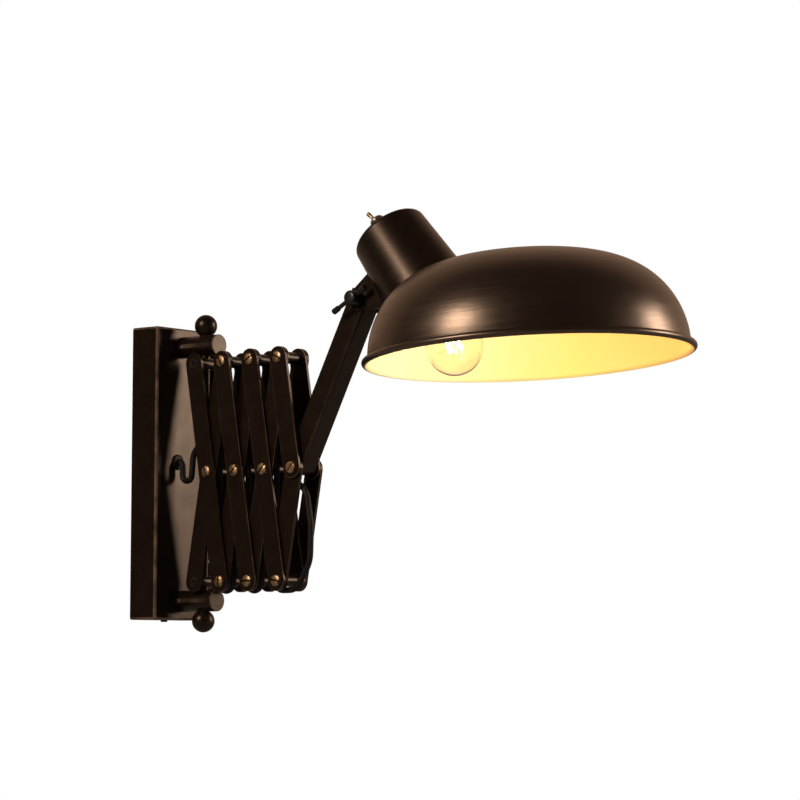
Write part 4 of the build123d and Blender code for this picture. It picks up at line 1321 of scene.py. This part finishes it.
class LAMP_OT_cord(bpy.types.Operator):
    """Make the cord in lengths, and its grommet"""

    bl_idname = "lamp.cord"
    bl_label = "Cord"

    def execute(self, context):
        dressed("cord_grommet", cord_rubber(), "black_rubber", 0.0002)
        low, high = (0, -1), (0, 1)
        turns = PIVOT_UP + HALF_PITCH / 2
        mid, crest = out_of_wall(1), 9.5
        # name, a place on it, cuts as (place, way that is kept), two bodies, start and end
        parts = [
            ("cord_exit", (30, 12), [((57, 14.5), (-0.7, -0.7))], "wall_bracket", "swivel",
             (44, 0), (53.5, 0)),
            ("cord_over_rod", (66, 24), [((57, 14.5), (0.7, 0.7)), ((80, 0), (-1, 0))],
             "swivel", "bar_b", (57, 14.5), (68, 25.5)),
            ("cord_turn_1", (93, 0), [((80, 0), (1, 0)), ((0, LEG_CUT), high),
                                      ((mid + HALF_LENGTH, 0), (-1, 0))],
             "bar_b", "bar_a", (81, 0), (92, 0)),
        ]
        pairs = ["ad", "dc", "cf", "fe", "eh"]
        for step, (first, second) in enumerate(pairs, start=2):
            out = out_of_wall(step)
            side = high if step % 2 else low
            top = crest if step % 2 else -turns
            limits = [((0, LEG_CUT), side), ((out - HALF_LENGTH, 0), (1, 0)),
                      ((out + HALF_LENGTH, 0), (-1, 0))]
            parts.append((f"cord_turn_{step}", (out, top), limits, f"bar_{first}",
                          f"bar_{second}", (out - 7, 0), (out + 7, 0)))
        loop = ((out_of_wall(6) + HALF_LENGTH, 0), (1, 0))
        parts += [
            ("cord_loop_low", (212, -80), [loop, ((0, LEG_CUT), low)], "bar_h", "arm",
             (0, -100), (0, 2)),
            ("cord_loop_high", (212, -40), [((out_of_wall(5) + 12, 0), (1, 0)),
                                            ((0, LEG_CUT), high), ((0, 40), low)],
             "bar_h", "arm", (0, -100), (0, 2)),
            ("cord_in_head", (290, 170), [((0, 40), high)], "arm", "head",
             (JOINT[0] - 14 * ARM_WAY[0], JOINT[1] - 14 * ARM_WAY[1]),
             (JOINT[0] + 9 * CUP_CROSS[0], JOINT[1] + 9 * CUP_CROSS[1])),
        ]
        whole = self.refined()
        for index, part in enumerate(parts):
            self.length_of_cord(whole, index, *part)
        whole.free()
        return {"FINISHED"}

    def refined(self):
        """Merged copy of the CAD cord, with its nearly flat faces dissolved."""
        builder = bmesh.new()
        builder.from_mesh(frame["nodes"]["cord"].data)
        bmesh.ops.remove_doubles(builder, verts=builder.verts, dist=2e-6)
        bmesh.ops.dissolve_limit(
            builder, angle_limit=math.radians(0.3), verts=builder.verts, edges=builder.edges
        )
        return builder

    def length_of_cord(self, whole, index, name, seed, cuts, first, second, start, end):
        """One length of the cord, cut out."""
        builder = whole.copy()
        for place, keep in cuts:
            everything = builder.verts[:] + builder.edges[:] + builder.faces[:]
            bmesh.ops.bisect_plane(
                builder, geom=everything, dist=1e-6, plane_co=at(place),
                plane_no=side_way(keep), clear_inner=True,
            )
        island = self.island_at(builder, at(seed))
        rest = [vertex for vertex in builder.verts if vertex not in island]
        bmesh.ops.delete(builder, geom=rest, context="VERTS")
        open_edges = [edge for edge in builder.edges if edge.is_boundary]
        bmesh.ops.holes_fill(builder, edges=open_edges, sides=0)
        piece = object_from(name, builder, [cord_rubber()])
        smoothed(piece.data, math.radians(50))
        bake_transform(piece)
        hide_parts(*(["cord"] if index == 0 else []))

    def island_at(self, builder, place):
        """Vertices joined to the one nearest to a place."""
        nearest = min(builder.verts, key=lambda v: (v.co - place).length)
        found, waiting = {nearest}, [nearest]
        while waiting:
            for edge in waiting.pop().link_edges:
                for vertex in edge.verts:
                    if vertex not in found:
                        found.add(vertex)
                        waiting.append(vertex)
        return found


class LAMP_OT_studio(bpy.types.Operator):
    """Make the pale floor, the soft lights and the camera"""

    bl_idname = "lamp.studio"
    bl_label = "Studio"

    def execute(self, context):
        scene = context.scene
        scene.view_settings.view_transform = "Standard"
        self.floor()
        self.backdrop(scene)
        for name, (place, size, power) in SOFTBOXES.items():
            self.softbox(name, place, size, power)
        self.camera(scene)
        return {"FINISHED"}

    def floor(self):
        """Pale floor well below the lamp."""
        builder = bmesh.new()
        bmesh.ops.create_grid(builder, x_segments=1, y_segments=1, size=20)
        for vertex in builder.verts:
            vertex.co.z = FLOOR_UP
        material, tree, shader, vector = fresh_material("pale_floor")
        tone = tree.noise(vector, 1.5, 3.0)
        tree.feed(shader.inputs["Base Color"], tree.mix(
            tree.span(tone, 0.3, 0.7), (0.34, 0.34, 0.34, 1), (0.37, 0.37, 0.37, 1)))
        shader.inputs["Roughness"].default_value = 0.7
        path = tree.add("ShaderNodeLightPath").outputs
        plain = tree.add("ShaderNodeEmission", {"Color": tree.mix(
            path["Is Glossy Ray"], four(colours().backdrop), FLOOR_REFLECTED)})
        far = tree.add("ShaderNodeVectorMath", {0: vector}, operation="LENGTH").outputs["Value"]
        share = tree.times(tree.seen(path), tree.span(far, 1.2, 3.0, 0.88, 1.0))
        mix = tree.add("ShaderNodeMixShader", {
            "Fac": share, 1: shader.outputs[0], 2: plain.outputs[0]})
        output = material.node_tree.nodes["Material Output"]
        tree.feed(output.inputs["Surface"], mix.outputs[0])
        floor = object_from("floor", builder, [material])

    def backdrop(self, scene):
        """White background, and a plain grey light from all round."""
        world = bpy.data.worlds.new("studio")
        scene.world = world
        world.use_nodes = True
        tree = Tree(world.node_tree)
        ground = world.node_tree.nodes["Background"]
        path = tree.add("ShaderNodeLightPath").outputs
        way = tree.add("ShaderNodeVectorMath", {
            0: tree.add("ShaderNodeTexCoord").outputs["Generated"], 1: PALE_WAY,
        }, operation="DOT_PRODUCT")
        behind = tree.span(way.outputs["Value"], 0.3, 0.9)
        room = tree.mix(behind, ROOM_DARK, ROOM_PALE)
        clear = tree.math("MAXIMUM", path["Is Camera Ray"], path["Is Transmission Ray"])
        shown = tree.mix(clear, room, four(colours().backdrop))
        tree.feed(ground.inputs["Color"], tree.mix(tree.seen(path), ROOM_LIGHT, shown))

    def softbox(self, name, place, size, power):
        """Rectangular soft light that faces the lamp."""
        light = bpy.data.lights.new(name, "AREA")
        light.shape = "RECTANGLE"
        light.size, light.size_y = size
        light.energy = power
        light.color = SOFTBOX_COLOUR
        box = bpy.data.objects.new(name, light)
        box.location = place
        aim = SOFTBOX_AIM - Vector(place)
        box.rotation_euler = aim.to_track_quat("-Z", "Y").to_euler()
        bpy.context.scene.collection.objects.link(box)

    def camera(self, scene):
        """Camera at the photograph's place."""
        data = bpy.data.cameras.new("camera")
        data.sensor_width = 36
        data.lens = 131.6
        data.clip_end = 100
        right = Vector((0.62811, -0.77812, 0.00349))
        up = Vector((-0.06859, -0.05090, 0.99635))
        back = right.cross(up)
        turn = Matrix((right, up, back)).transposed()
        holder = bpy.data.objects.new("camera", data)
        holder.matrix_world = Matrix.Translation((-2.19747, -2.09636, -0.18017)) @ turn.to_4x4()
        scene.collection.objects.link(holder)
        scene.camera = holder


OPERATORS = (
    LAMP_OT_wall_box, LAMP_OT_brackets, LAMP_OT_bars, LAMP_OT_pivot_screws, LAMP_OT_arm,
    LAMP_OT_shade, LAMP_OT_cup, LAMP_OT_switch, LAMP_OT_lampholder, LAMP_OT_bulb,
    LAMP_OT_clamp, LAMP_OT_cord, LAMP_OT_studio,
)


class LAMP_PT_panel(bpy.types.Panel):
    """Panel that lists the lamp's sizes, colours and pieces"""

    bl_idname = "LAMP_PT_panel"
    bl_label = "Wall lamp"
    bl_space_type = "VIEW_3D"
    bl_region_type = "UI"
    bl_category = "Wall lamp"

    def draw(self, context):
        layout = self.layout
        for group in (context.scene.lamp_sizes, context.scene.lamp_colours):
            box = layout.box()
            for name in group.__annotations__:
                box.prop(group, name)
        for operator in OPERATORS:
            layout.operator(operator.bl_idname)


CLASSES = (LampSizes, LampColours, *OPERATORS, LAMP_PT_panel)


def register():
    for cls in CLASSES:
        bpy.utils.register_class(cls)
    bpy.types.Scene.lamp_sizes = bpy.props.PointerProperty(type=LampSizes)
    bpy.types.Scene.lamp_colours = bpy.props.PointerProperty(type=LampColours)


def unregister():
    del bpy.types.Scene.lamp_colours
    del bpy.types.Scene.lamp_sizes
    for cls in reversed(CLASSES):
        bpy.utils.unregister_class(cls)


def main():
    register()
    for operator in OPERATORS:
        group, name = operator.bl_idname.split(".")
        getattr(getattr(bpy.ops, group), name)()


if __name__ == "__main__":
    main()
